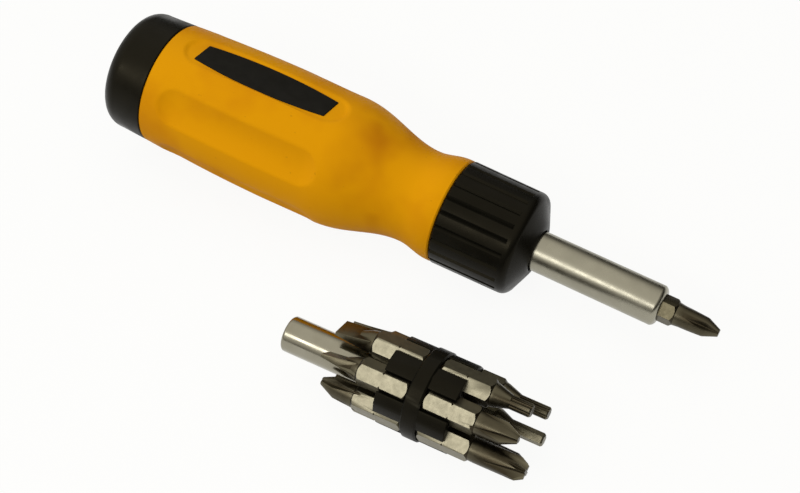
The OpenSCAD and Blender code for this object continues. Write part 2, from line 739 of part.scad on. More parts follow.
// Waist and both hexagon halves, from the middle of the bit
module bit_body() {
    bit_half();
    mirror([0, 0, 1]) bit_half();
}

module front_end(turn) translate([0, 0, bit_waist_len / 2 + bit_hex_len]) around(turn) children();
module back_end(turn) mirror([0, 0, 1]) front_end(turn) children();

module driver_bit() color([0.32, 0.31, 0.26]) on_tool() translate([0, 0, driver_mid]) {
    around(bit_face_angle) bit_body();
    front_end(wing_angle) cross_tip(driver_tip_len, driver_cross_r);
    back_end(wing_angle) blade_tip(back_tip_len, blade_w);
}

// Places a bit in one of the carrier's holes
module in_hole(i) on_carrier() around(ring_first + i * 360 / bits) translate([bit_ring_r, 0, 0]) children();

module slotted_phillips_bit() color([0.42, 0.4, 0.34]) in_hole(0) {
    bit_body();
    front_end(front_turns[0]) cross_tip(front_lens[0], cross_r);
    back_end(back_turns[0]) blade_tip(back_lens[0], blade_w);
}

module phillips_pozidriv_bit() color([0.4, 0.38, 0.33]) in_hole(1) {
    bit_body();
    front_end(front_turns[1]) pozi_tip(front_lens[1], pozi_r);
    back_end(back_turns[1]) cross_tip(back_lens[1], cross_r);
}

module slotted_small_phillips_bit() color([0.38, 0.37, 0.32]) in_hole(2) {
    bit_body();
    front_end(front_turns[2]) cross_tip(front_lens[2], small_cross_r);
    back_end(back_turns[2]) blade_tip(back_lens[2], small_blade_w);
}

module square_hex_bit() color([0.36, 0.35, 0.3]) in_hole(3) {
    bit_body();
    front_end(front_turns[3]) key_tip(front_lens[3], hex_key_r, 6);
    back_end(back_turns[3]) key_tip(back_lens[3], square_key_r, 4);
}

module slotted_small_torx_bit() color([0.4, 0.39, 0.34]) in_hole(4) {
    bit_body();
    front_end(front_turns[4]) star_tip(front_lens[4], small_torx_r);
    back_end(back_turns[4]) blade_tip(back_lens[4], blade_w);
}

module slotted_torx_bit() color([0.42, 0.4, 0.35]) in_hole(5) {
    bit_body();
    front_end(front_turns[5]) star_tip(front_lens[5], torx_r);
    back_end(back_turns[5]) blade_tip(back_lens[5], wide_blade_w);
}

// Fin between two bits: a stem with a mushroom head that follows the bits' flats
module fin_plan() {
    flat_gap = bit_ring_r / 2 - bit_af / 2;
    flat_x = bit_ring_r * cos(30) + bit_corner_r / 2;
    stem = fin_stem_w / 2;
    head = fin_head_w / 2;
    head_x = flat_x + (head - flat_gap + 2 * loose_gap) / tan(60);
    stem_x = flat_x + (stem - flat_gap + 2 * loose_gap) / tan(60);
    polygon([[fin_in_r, -stem], [stem_x, -stem], [head_x, -head], [head_x + fin_stem_w / 2, -head],
        [carrier_r - loose_gap, 0], [head_x + fin_stem_w / 2, head], [head_x, head], [stem_x, stem],
        [fin_in_r, stem]]);
}

module bit_carrier() color([0.14, 0.13, 0.11]) on_carrier() difference() {
    union() {
        bar(carrier_r, -carrier_t / 2, carrier_t / 2);
        for (i = [0:bits - 1]) around(ring_first + (i + 0.5) * 360 / bits)
            translate([0, 0, -carrier_t / 2 - fin_len])
                linear_extrude(height = carrier_t + 2 * fin_len) fin_plan();
        bar(post_r, -carrier_t / 2 - post_len, 0);
    }
    for (i = [0:bits - 1]) around(ring_first + i * 360 / bits) translate([bit_ring_r, 0, 0])
        hex_bar(hole_af, -carrier_t, carrier_t);
}

module socket_sleeve() color([0.83, 0.82, 0.78]) on_carrier() difference() {
    inner_end = -carrier_t / 2 - seat_gap;
    turned([[0, -sleeve_at], [sleeve_r - sleeve_bevel, -sleeve_at], [sleeve_r, -sleeve_at + sleeve_bevel],
        [sleeve_r, inner_end], [0, inner_end]]);
    bar(post_r + run_gap, inner_end - sleeve_bore_len, inner_end + overrun);
    hex_bar(socket_af, -sleeve_at - overrun, -sleeve_at + sleeve_socket_len);
}

handle();
label_inlay();
end_cap();
cap_seal_ring();
ratchet_housing();
selector_collar();
collar_snap_ring();
forward_pawl();
reverse_pawl();
pawl_pins();
pawl_leaf_spring();
detent_ball();
detent_spring();
front_bushing();
shank();
ratchet_gear();
gear_washer();
shank_washer();
shank_circlip();
bit_magnet();
bit_snap_ring();
driver_bit();
bit_carrier();
socket_sleeve();
slotted_torx_bit();
slotted_phillips_bit();
slotted_small_phillips_bit();
phillips_pozidriv_bit();
square_hex_bit();
slotted_small_torx_bit();
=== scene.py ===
# Ratcheting screwdriver lying on a bench, with its bit carrier beside it.
import json
import math

import bpy
from mathutils import Matrix, Vector


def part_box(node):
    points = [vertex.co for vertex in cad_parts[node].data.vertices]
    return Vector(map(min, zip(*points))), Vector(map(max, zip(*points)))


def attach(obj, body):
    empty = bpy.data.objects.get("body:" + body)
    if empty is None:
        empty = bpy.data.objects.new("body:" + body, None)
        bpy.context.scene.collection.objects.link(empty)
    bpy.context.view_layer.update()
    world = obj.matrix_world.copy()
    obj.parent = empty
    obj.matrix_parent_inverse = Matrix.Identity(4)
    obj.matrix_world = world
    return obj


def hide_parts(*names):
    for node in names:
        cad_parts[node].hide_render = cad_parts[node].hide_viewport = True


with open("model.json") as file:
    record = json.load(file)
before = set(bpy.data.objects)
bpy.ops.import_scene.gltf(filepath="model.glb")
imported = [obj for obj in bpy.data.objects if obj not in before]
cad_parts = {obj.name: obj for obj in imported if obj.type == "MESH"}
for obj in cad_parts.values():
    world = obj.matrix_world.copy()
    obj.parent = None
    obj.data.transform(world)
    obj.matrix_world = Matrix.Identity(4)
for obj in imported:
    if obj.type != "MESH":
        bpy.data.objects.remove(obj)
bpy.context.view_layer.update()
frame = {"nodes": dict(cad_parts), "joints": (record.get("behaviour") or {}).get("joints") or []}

# Handle: one moulding in soft-touch amber plastic, hollow behind for the carrier, with a waist behind the
# collar. Six long scallops are pressed into it with soft edges. Five are dished, and the top one has a flat
# floor for the label.
MM = 0.001
HANDLE_LEN = 86.6
END_R, BELLY_R, SHOULDER_R, WAIST_R, FLARE_R = 16.9, 18.1, 17.85, 12.8, 14.2
BELLY_AT, SHOULDER_AT, WAIST_AT, FLARE_AT, WAIST_EASE = 51, 35, 10, 1.5, 1.08
STORAGE_R, STORAGE_AT, MOUTH_R, MOUTH_DEPTH = 12.4, 19.5, 14.26, 8.3
STEM_R, STEM_LEN, SEAM = 8.62, 17.02, 0.3
END_EDGE, MOUTH_EDGE = 0.35, 0.6
SCALLOPS, FIRST_SCALLOP, LABEL_SCALLOP = 6, math.radians(58.75), -1
SCALLOP_LEN, SCALLOP_AT, SCALLOP_W, SCALLOP_DEPTH = 47.5, 33.6, 9.2, 0.8
SCALLOP_PITCH = 2 * math.pi / SCALLOPS
DISH, LIP, DEEPEST = 0.75, 0.35, 2.0
WALL_RUN, SOFT_EDGE = 0.9, 0.3
GRIP_RINGS, GRIP_SIDES = 150, 216

# The tool leans nose down on its belly and its collar. Its pieces are modelled upright in millimetres, nose
# up, with zero at the collar, +X towards the top and +Y towards the carrier's side. Each is then laid in its
# place.
collar_joint = next(joint for joint in frame["joints"] if joint["name"] == "selector_turn")
nose_way = Vector(collar_joint["axis"]).normalized()
side_way = Vector((0, -1, 0))
tool_place = Matrix((side_way.cross(nose_way), side_way, nose_way)).transposed().to_4x4()
tool_place.translation = Vector(collar_joint["pos_m"])


def turn(name, outline, sides, through=False):
    """A turned piece, drawn out ring by ring along its axis. With through, its last ring joins its first."""
    (radius, height), *rest = outline
    fill = "NOTHING" if through else "NGON"
    bpy.ops.object.select_all(action="DESELECT")
    bpy.ops.mesh.primitive_circle_add(
        vertices=sides, radius=radius * MM, fill_type=fill, location=(0, 0, height * MM)
    )
    piece = bpy.context.object
    piece.name = piece.data.name = name
    bpy.ops.object.mode_set(mode="EDIT")
    bpy.ops.mesh.select_all(action="SELECT")
    for next_radius, next_height in rest:
        rise = (0, 0, (next_height - height) * MM)
        bpy.ops.mesh.extrude_region_move(TRANSFORM_OT_translate={"value": rise})
        grow = next_radius / radius
        bpy.ops.transform.resize(value=(grow, grow, 1))
        radius, height = next_radius, next_height
    if through:
        bpy.ops.mesh.select_all(action="DESELECT")
        bpy.ops.mesh.select_mode(type="EDGE")
        bpy.ops.mesh.select_non_manifold()
        bpy.ops.mesh.bridge_edge_loops()
        bpy.ops.mesh.select_mode(type="VERT")
    bpy.ops.mesh.select_all(action="SELECT")
    bpy.ops.mesh.normals_make_consistent(inside=False)
    bpy.ops.object.mode_set(mode="OBJECT")
    bpy.ops.object.transform_apply(location=True, rotation=True, scale=True)
    return piece


def pick(piece):
    """Makes a piece the only one selected."""
    bpy.ops.object.select_all(action="DESELECT")
    piece.select_set(True)
    bpy.context.view_layer.objects.active = piece


def smooth(piece, degrees=32):
    """Shades a piece smooth, apart from edges that turn by more than some degrees."""
    pick(piece)
    bpy.ops.object.shade_smooth_by_angle(angle=math.radians(degrees))


def finish_modifier(piece, kind, **settings):
    """Adds a modifier, sets it and applies it."""
    pick(piece)
    modifier = piece.modifiers.new(kind, kind)
    for setting, value in settings.items():
        setattr(modifier, setting, value)
    bpy.ops.object.modifier_apply(modifier=modifier.name)


def place(piece, where):
    """Lays a finished piece where it belongs, with its place in its mesh."""
    pick(piece)
    piece.matrix_world = where @ piece.matrix_world
    bpy.ops.object.transform_apply(location=True, rotation=True, scale=True)


def hand_over(piece, body, slot, *nodes):
    """Ties a piece to its body, and hides the nodes that it stands for. Its slot is not used."""
    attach(piece, body)
    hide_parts(*nodes)


def colour(code):
    """Linear colour from an sRGB hex value."""
    parts = [int(code[i : i + 2], 16) / 255 for i in (1, 3, 5)]
    return [c / 12.92 if c <= 0.04045 else ((c + 0.055) / 1.055) ** 2.4 for c in parts] + [1]


def add(owner, kind, *in_order, **named):
    """Adds a shader node. Names in small letters are settings, and others are sockets, with _ for a space.

    Values in order fill the sockets in use, from the first. A value may be a socket to link, or a node, whose
    first output in use is linked.
    """
    node = owner.node_tree.nodes.new("ShaderNode" + kind)
    for name, value in named.items():
        if name.islower():
            setattr(node, name, value)
    filled = list(zip([socket for socket in node.inputs if socket.enabled], in_order))
    filled += [(node.inputs[name.replace("_", " ")], named[name]) for name in named if not name.islower()]
    for socket, value in filled:
        if isinstance(value, bpy.types.Node):
            value = next(output for output in value.outputs if output.enabled)
        if isinstance(value, bpy.types.NodeSocket):
            owner.node_tree.links.new(value, socket)
        else:
            socket.default_value = value
    return node


def new_material(name):
    """An empty material, and its Object coordinates."""
    material = bpy.data.materials.new(name)
    material.use_nodes = True
    material.node_tree.nodes.clear()
    return material, add(material, "TexCoord").outputs["Object"]


# Soft-touch moulded plastic: satin, and browner where hands hold it by its waist. Its spark-eroded grain,
# like the grain of every finish below, is drawn as coarse as it needs to show.
def amber_soft_touch():
    material, where = new_material("amber_soft_touch_plastic")
    wear_mm, blotch_mm, smear_mm, speck_mm, grain_mm = 26, 17, 9, 1.4, 0.35
    seam = tool_place.translation.dot(nose_way)
    held_from, held_to, free_from, free_to = (seam - back * MM for back in (36, 24, 18, 9))

    wear = add(material, "TexNoise", Vector=where, Scale=1 / (wear_mm * MM), Detail=3, Roughness=0.6)
    handled = add(material, "MapRange", Value=wear, From_Min=0.48, From_Max=0.75)
    base = add(material, "Mix", handled, colour("#DE9808"), colour("#CF850A"), data_type="RGBA")
    along = add(material, "VectorMath", where, nose_way, operation="DOT_PRODUCT")
    held = add(material, "MapRange", Value=along, From_Min=held_from, From_Max=held_to)
    free = add(material, "MapRange", Value=along, From_Min=free_from, From_Max=free_to, To_Min=1, To_Max=0)
    grip = add(material, "Math", held, free, operation="MULTIPLY")
    blotch = add(material, "TexNoise", Vector=where, Scale=1 / (blotch_mm * MM))
    blotches = add(material, "MapRange", Value=blotch, From_Min=0.45, From_Max=0.75)
    grime = add(material, "Math", grip, blotches, operation="MULTIPLY")
    base = add(material, "Mix", grime, base, colour("#B96F0B"), data_type="RGBA")
    speck = add(material, "TexNoise", Vector=where, Scale=1 / (speck_mm * MM))
    specks = add(material, "MapRange", Value=speck, From_Min=0.72, From_Max=0.8, To_Max=0.35)
    base = add(material, "Mix", specks, base, colour("#8A5A10"), data_type="RGBA")

    grain = add(material, "TexNoise", Vector=where, Scale=1 / (grain_mm * MM))
    bump = add(material, "Bump", Height=grain, Strength=0.22, Distance=0.06 * MM)
    smear = add(material, "TexNoise", Vector=where, Scale=1 / (smear_mm * MM))
    rough = add(material, "MapRange", Value=smear, From_Min=0.3, From_Max=0.7, To_Min=0.5, To_Max=0.65)
    gloss = {"Specular_IOR_Level": 0.08, "Specular_Tint": colour("#FFB84A")}
    shader = add(material, "BsdfPrincipled", Base_Color=base, Roughness=rough, Normal=bump, **gloss)
    add(material, "OutputMaterial", Surface=shader)
    return material


def ease(t):
    """Goes softly from 0 to 1."""
    return (1 - math.cos(math.pi * t)) / 2


def grip_radius(z):
    """Radius of the grip at a height, which is below zero all along the handle."""
    if z < -BELLY_AT:
        return BELLY_R - (BELLY_R - END_R) * ((-BELLY_AT - z) / (HANDLE_LEN - BELLY_AT)) ** 2
    if z < -SHOULDER_AT:
        return BELLY_R - (BELLY_R - SHOULDER_R) * (z + BELLY_AT) / (BELLY_AT - SHOULDER_AT)
    if z < -WAIST_AT:
        along = (z + SHOULDER_AT) / (SHOULDER_AT - WAIST_AT)
        return SHOULDER_R - (SHOULDER_R - WAIST_R) * ease(along**WAIST_EASE)
    if z < -FLARE_AT:
        return WAIST_R + (FLARE_R - WAIST_R) * ease((z + WAIST_AT) / (WAIST_AT - FLARE_AT))
    return FLARE_R


# The middles of a scallop's two round ends, and the grip's radius over the two ends of a flat floor.
scallop_back = -SCALLOP_AT - SCALLOP_LEN + SCALLOP_W / 2
scallop_front = -SCALLOP_AT - SCALLOP_W / 2
over_back, over_front = grip_radius(scallop_back), grip_radius(-SCALLOP_AT)


def scallop_depth(x, y, z):
    """How far the nearest scallop presses the grip in at a point. A flat floor leans with the grip.

    A dished one starts a lip's depth under the grip and goes deeper towards its middle line.
    """
    radius = math.hypot(x, y)
    turned = (math.atan2(y, x) - FIRST_SCALLOP + SCALLOP_PITCH / 2) / SCALLOP_PITCH
    off = (turned % 1 - 0.5) * SCALLOP_PITCH
    across = radius * math.sin(off)
    beyond = max(scallop_back - z, z - scallop_front, 0)
    away = math.hypot(across, beyond) / (SCALLOP_W / 2)
    outside = max(away - 1, 0) * SCALLOP_W / 2
    along = (z - scallop_back) / (scallop_front - scallop_back)
    floor = over_back + (over_front - over_back) * along - SCALLOP_DEPTH
    if (math.floor(turned) - LABEL_SCALLOP) % SCALLOPS == 0:
        target = (floor + outside / WALL_RUN) / math.cos(off)
    else:
        middle = max(grip_radius(z) - floor + DISH, LIP)
        target = grip_radius(z) - LIP - (middle - LIP) * (1 - min(away, 1) ** 2) + outside / WALL_RUN
    near = max(SOFT_EDGE - abs(radius - target), 0) / SOFT_EDGE
    return radius - min(radius, target) + near * near * SOFT_EDGE / 4


def handle_outline():
    """Radius and height from the bottom of the hollow, out over the grip, to the end of the stem."""
    back = -HANDLE_LEN
    grip_run = HANDLE_LEN - SEAM - 2 * END_EDGE
    grip = [back + END_EDGE + grip_run * i / GRIP_RINGS for i in range(GRIP_RINGS + 1)]
    inside = [(STORAGE_R, -STORAGE_AT), (STORAGE_R, back + MOUTH_DEPTH), (MOUTH_R, back + MOUTH_DEPTH)]
    mouth = [(MOUTH_R, back + MOUTH_EDGE), (MOUTH_R + MOUTH_EDGE, back), (END_R - END_EDGE, back)]
    front = [(FLARE_R - END_EDGE, -SEAM), (STEM_R, -SEAM), (STEM_R, -STEM_LEN)]
    return inside + mouth + [(grip_radius(z), z) for z in grip] + front


handle = turn("handle_grip", handle_outline(), GRIP_SIDES)
pressed = handle.vertex_groups.new(name="pressed")
for vertex in handle.data.vertices:
    depth = scallop_depth(*(vertex.co / MM))
    if depth > 0:
        pressed.add([vertex.index], min(depth / DEEPEST, 1), "REPLACE")
finish_modifier(handle, "DISPLACE", strength=-DEEPEST * MM, mid_level=0, vertex_group="pressed")
handle.data.materials.append(amber_soft_touch())
smooth(handle, 40)
place(handle, tool_place)
hand_over(handle, "handle", "yellow_grip", "handle")

# Label inlay: a bowed strip of black rubber with slanting ends, moulded flat with softened edges. It is set
# in the flat floor of the top scallop, a little proud of it.
LABEL_LEN, LABEL_MID_W, LABEL_END_W, LABEL_T, LABEL_SUNK = 39.4, 9.0, 6.2, 0.8, 0.5
LABEL_EDGE, LABEL_SLANT, LABEL_ROWS = 0.22, math.radians(6), 24
# How near a point must lie to a line or a height to be on it.
NEAR = 0.01


# Moulded rubber: almost black and dull, with a fine grain and faint clouds.
def dull_rubber():
    material, where = new_material("dull_black_rubber")
    cloud_mm, patch_mm, grain_mm = 4, 2.5, 0.3
    cloud = add(material, "TexNoise", Vector=where, Scale=1 / (cloud_mm * MM), Detail=3)
    base = add(material, "Mix", cloud, colour("#0D0C08"), colour("#171510"), data_type="RGBA")
    grain = add(material, "TexNoise", Vector=where, Scale=1 / (grain_mm * MM), Detail=3, Roughness=0.6)
    bump = add(material, "Bump", Height=grain, Strength=0.3, Distance=0.05 * MM)
    patch = add(material, "TexNoise", Vector=where, Scale=1 / (patch_mm * MM))
    rough = add(material, "MapRange", Value=patch, From_Min=0.3, From_Max=0.7, To_Min=0.55, To_Max=0.7)
    shader = add(
        material, "BsdfPrincipled", Base_Color=base, Roughness=rough, Normal=bump, Specular_IOR_Level=0.12
    )
    add(material, "OutputMaterial", Surface=shader)
    return material


def select_where(piece, test):
    """Selects a piece's vertices by their place in millimetres, and leaves edit mode on."""
    pick(piece)
    bpy.ops.object.mode_set(mode="EDIT")
    bpy.ops.mesh.select_mode(type="VERT")
    bpy.ops.mesh.select_all(action="DESELECT")
    bpy.ops.object.mode_set(mode="OBJECT")
    for vertex in piece.data.vertices:
        vertex.select = test(vertex.co / MM)
    bpy.ops.object.mode_set(mode="EDIT")


def edit_done():
    """Leaves edit mode."""
    bpy.ops.object.mode_set(mode="OBJECT")


def soften(piece, width, segments, degrees):
    """Rounds the edges of a piece that turn by more than some degrees."""
    limit = math.radians(degrees)
    finish_modifier(
        piece, "BEVEL", width=width * MM, segments=segments, limit_method="ANGLE", angle_limit=limit
    )


bpy.ops.object.select_all(action="DESELECT")
bpy.ops.mesh.primitive_grid_add(x_subdivisions=1, y_subdivisions=LABEL_ROWS, size=1)
label = bpy.context.object
label.name = label.data.name = "label_inlay"
label.scale = (LABEL_MID_W * MM, LABEL_LEN * MM, 1)
bpy.ops.object.transform_apply(location=True, rotation=True, scale=True)
for row in range(LABEL_ROWS + 1):
    at = (row / LABEL_ROWS - 0.5) * LABEL_LEN
    width = LABEL_MID_W - (LABEL_MID_W - LABEL_END_W) * (2 * at / LABEL_LEN) ** 2
    select_where(label, lambda p: abs(p.y - at) < NEAR)
    bpy.ops.transform.resize(value=(width / LABEL_MID_W, 1, 1), center_override=(0, at * MM, 0))
    edit_done()
for side in (-1, 1):
    select_where(label, lambda p: p.x * side > 0)
    bpy.ops.transform.translate(value=(0, -side * LABEL_MID_W / 2 * math.tan(LABEL_SLANT) * MM, 0))
    edit_done()
select_where(label, lambda p: True)
bpy.ops.mesh.extrude_region_move(TRANSFORM_OT_translate={"value": (0, 0, LABEL_T * MM)})
bpy.ops.mesh.select_all(action="SELECT")
bpy.ops.mesh.normals_make_consistent(inside=False)
edit_done()
soften(label, LABEL_EDGE, segments=3, degrees=50)
label.data.materials.append(dull_rubber())
smooth(label)
floor_run = SCALLOP_LEN - SCALLOP_W
floor_place = (
    Matrix.Rotation(FIRST_SCALLOP + LABEL_SCALLOP * SCALLOP_PITCH, 4, "Z")
    @ Matrix.Translation(Vector((over_back - SCALLOP_DEPTH, 0, scallop_back)) * MM)
    @ Matrix.Rotation(math.atan2(over_front - over_back, floor_run), 4, "Y")
    @ Matrix.Translation(Vector((-LABEL_SUNK, 0, floor_run / 2)) * MM)
    @ Matrix(((0, 0, 1), (1, 0, 0), (0, 1, 0))).to_4x4()
)
place(label, tool_place @ floor_place)
hand_over(label, "handle", "black_label", "label_inlay")

# End cap: a black moulded cup with a generous rounded edge and a slightly hollow back. Its plug enters the
# handle, and a groove round the plug holds a rubber seal ring.
CAP_LEN, CAP_CORNER, CAP_STRAIGHT, CAP_TAPER, CAP_WALL, CAP_GAP = 13.0, 4.5, 0.8, 0.35, 2.5, 0.12
PLUG_R, PLUG_LEN, PLUG_EDGE, PLUG_MOUTH_EDGE = 14.2, 8.0, 0.5, 0.3
SEAL_AT, SEAL_DEEP, SEAL_HALF = 4.5, 1.76, 0.92
TURNED_SIDES = 128
# Radius and depth of the rings in its hollow back.
CAP_HOLLOW = ((9, 0.02), (5, 0.08), (1, 0.1))


# Moulded ABS: near black, satin, with a fine grain and slightly rubbed edges.
def black_abs(name, rub, shine):
    material, where = new_material(name)
    cloud_mm, patch_mm, grain_mm = 6, 8, 0.3
    cloud = add(material, "TexNoise", Vector=where, Scale=1 / (cloud_mm * MM), Detail=3)
    base = add(material, "Mix", cloud, colour("#0B0A07"), colour("#13120E"), data_type="RGBA")
    edges = add(material, "NewGeometry").outputs["Pointiness"]
    rubbed = add(material, "MapRange", Value=edges, From_Min=0.56, From_Max=0.66, To_Max=rub)
    base = add(material, "Mix", rubbed, base, colour("#37352D"), data_type="RGBA")
    grain = add(material, "TexNoise", Vector=where, Scale=1 / (grain_mm * MM))
    bump = add(material, "Bump", Height=grain, Strength=0.25, Distance=0.05 * MM)
    patch = add(material, "TexNoise", Vector=where, Scale=1 / (patch_mm * MM), Detail=3)
    rough = add(material, "MapRange", Value=patch, From_Min=0.35, From_Max=0.65, To_Min=0.26, To_Max=0.46)
    gloss = {"Specular_IOR_Level": shine, "Specular_Tint": colour("#EEDFB8")}
    shader = add(material, "BsdfPrincipled", Base_Color=base, Roughness=rough, Normal=bump, **gloss)
    add(material, "OutputMaterial", Surface=shader)
    return material


def arc(centre_r, centre_z, radius, start, end, steps):
    """Points of a rounded edge, from one angle in degrees to another."""
    angles = [math.radians(start + (end - start) * i / steps) for i in range(steps + 1)]
    return [(centre_r + radius * math.cos(a), centre_z + radius * math.sin(a)) for a in angles]


cap_back, cap_front = -HANDLE_LEN - CAP_LEN, -HANDLE_LEN - CAP_GAP
cap_side_r, cap_edge_r = END_R - CAP_TAPER, END_R - END_EDGE
plug_end = -HANDLE_LEN + PLUG_LEN
seal_low, seal_high = -HANDLE_LEN + SEAL_AT - SEAL_HALF, -HANDLE_LEN + SEAL_AT + SEAL_HALF
cap = turn(
    "end_cap",
    [(STORAGE_R, cap_back + CAP_WALL), (STORAGE_R, plug_end - PLUG_MOUTH_EDGE)]
    + [(STORAGE_R + PLUG_MOUTH_EDGE, plug_end), (PLUG_R - PLUG_EDGE, plug_end)]
    + [(PLUG_R, plug_end - PLUG_EDGE), (PLUG_R, seal_high), (PLUG_R - SEAL_DEEP, seal_high)]
    + [(PLUG_R - SEAL_DEEP, seal_low), (PLUG_R, seal_low), (PLUG_R, cap_front), (cap_edge_r, cap_front)]
    + arc(cap_edge_r, cap_front - END_EDGE, END_EDGE, 60, 0, 3)
    + [(cap_side_r, cap_back + CAP_CORNER + CAP_STRAIGHT)]
    + arc(cap_side_r - CAP_CORNER, cap_back + CAP_CORNER, CAP_CORNER, 0, -90, 14)
    + [(radius, cap_back + depth) for radius, depth in CAP_HOLLOW],
    TURNED_SIDES,
)
cap.data.materials.append(black_abs("black_abs_cap", rub=0.5, shine=0.14))
smooth(cap)
place(cap, tool_place)
hand_over(cap, "cap", "black_plastic", "end_cap")

# Selector collar: black plastic, turned by the fingers to choose the ratchet's way. Ribs with narrow grooves
# between them run along it and stop short of its smooth domed nose. Its bore holds the pockets that work the
# pawls.
COLLAR_LEN, COLLAR_R, COLLAR_FRONT_R, COLLAR_EDGE = 24.5, 14.3, 14.1, 0.35
RIBS, RIB_SIDES, RIB_ROWS, RIB_LEN, RIM_LEN, BACK_EDGE_SHARE = 22, 12, 12, 19.0, 0.4, 0.02
FIRST_GROOVE, GROOVE_DEPTH, GROOVE_SIDE, GROOVE_END = math.radians(10.6), 0.65, 0.52, 0.12
NOSE_EDGE_R, NOSE_EDGE_FROM, NOSE_EDGE_TO = 2.6, 8, 60
BORE_R, BORE_LEN, BORE_EDGE, NOSE_HOLE_R = 11.11, 19.2, 0.2, 5.65
RING_SLOT_FROM, RING_SLOT_TO, RING_SLOT_R = 16.09, 17.01, 11.56
# Radius of the rings round the nose's hole, and how far each lies behind the front.
NOSE_RINGS = ((8.4, 0.8), (7.6, 0.45), (6.6, 0.05), (6.2, 0))

rim = RIB_LEN + RIM_LEN
rib_rows = [RIB_LEN * (BACK_EDGE_SHARE + (1 - BACK_EDGE_SHARE) * i / RIB_ROWS) for i in range(RIB_ROWS + 1)]
collar = turn(
    "selector_collar",
    [(NOSE_HOLE_R, BORE_LEN), (BORE_R, BORE_LEN), (BORE_R, RING_SLOT_TO), (RING_SLOT_R, RING_SLOT_TO)]
    + [(RING_SLOT_R, RING_SLOT_FROM), (BORE_R, RING_SLOT_FROM), (BORE_R, BORE_EDGE), (BORE_R + BORE_EDGE, 0)]
    + [(COLLAR_R - COLLAR_EDGE, 0)]
    + [(COLLAR_R + (COLLAR_FRONT_R - COLLAR_R) * z / rim, z) for z in rib_rows]
    + [(COLLAR_FRONT_R, RIB_LEN + GROOVE_END), (COLLAR_FRONT_R, rim)]
    + arc(COLLAR_FRONT_R - NOSE_EDGE_R, rim, NOSE_EDGE_R, NOSE_EDGE_FROM, NOSE_EDGE_TO, 8)
    + [(radius, COLLAR_LEN - behind) for radius, behind in NOSE_RINGS]
    + [(NOSE_HOLE_R + BORE_EDGE, COLLAR_LEN), (NOSE_HOLE_R, COLLAR_LEN - BORE_EDGE)],
    RIBS * RIB_SIDES,
    through=True,
)
collar.rotation_euler.z = FIRST_GROOVE
side_turn = 2 * math.pi / (RIBS * RIB_SIDES)


def on_ribs(p, sides_off):
    """Whether a point lies outside on the ribs, so many sides round from the middle of a groove."""
    sides_round = round(math.atan2(p.y, p.x) / side_turn)
    outer = math.hypot(p.x, p.y) > (BORE_R + COLLAR_FRONT_R) / 2
    return outer and p.z < RIB_LEN + NEAR and (sides_round - sides_off) % RIB_SIDES == 0


for sides_off, share in ((0, 1), (1, GROOVE_SIDE), (-1, GROOVE_SIDE)):
    select_where(collar, lambda p: on_ribs(p, sides_off))
    sunk = 1 - GROOVE_DEPTH * share / COLLAR_FRONT_R
    bpy.ops.transform.resize(value=(sunk, sunk, 1), center_override=(0, 0, 0))
    edit_done()
bpy.ops.object.transform_apply(location=True, rotation=True, scale=True)

# The cam pockets let one pawl's tail out as they press the other's in, and a track with three notches clicks
# on the detent's ball. Angles are in degrees.
CAM_FROM, CAM_TO, CAM_OUT_R, CAM_IN_R, CAM_AT = 5.14, 12.89, 11.73, 11.2, 86.2
TRACK_FROM, TRACK_TO, TRACK_R, TRACK_AT = 7.94, 10.06, 11.61, 180
NOTCHES, NOTCH_R, NOTCH_OUT_R, NOTCH_SIDES = 3, 0.8, 11.8, 24
SELECTOR_TURN, POCKET_EASE, POCKET_SIDES = 45, 5, 160
# Points nearer together than this are joined after a cut.
SLIVER = 0.002


def cut(piece, tool, operation="DIFFERENCE"):
    """Cuts a piece with a tool, joins it to one, or keeps what both share, and throws the tool away."""
    finish_modifier(piece, "BOOLEAN", object=tool, operation=operation, solver="EXACT")
    bpy.data.objects.remove(tool)
    select_where(piece, lambda p: True)
    bpy.ops.mesh.remove_doubles(threshold=SLIVER * MM)
    bpy.ops.mesh.dissolve_degenerate(threshold=SLIVER * MM)
    edit_done()


def cut_pocket(low, high, start, end, start_r, end_r):
    """Widens the collar's bore between two angles, evenly from one radius to the other."""
    aside = (end_r - start_r) / 2 / math.sin(math.radians(end - start) / 2)
    across = math.radians((start + end) / 2 + 90)
    centre = Vector((aside * math.cos(across), aside * math.sin(across), (low + high) / 2)) * MM
    radius = (start_r + end_r) / 2 * MM
    bpy.ops.object.select_all(action="DESELECT")
    bpy.ops.mesh.primitive_cylinder_add(
        vertices=POCKET_SIDES, radius=radius, depth=(high - low) * MM, location=centre
    )
    tool = bpy.context.object
    bpy.ops.object.transform_apply(location=True, rotation=True, scale=True)
    for side, degrees in ((1, start - POCKET_EASE), (-1, end + POCKET_EASE)):
        angle = math.radians(degrees)
        outwards = (side * math.sin(angle), -side * math.cos(angle), 0)
        select_where(tool, lambda p: True)
        bpy.ops.mesh.bisect(plane_co=(0, 0, 0), plane_no=outwards, use_fill=True, clear_outer=True)
        edit_done()
    cut(collar, tool)


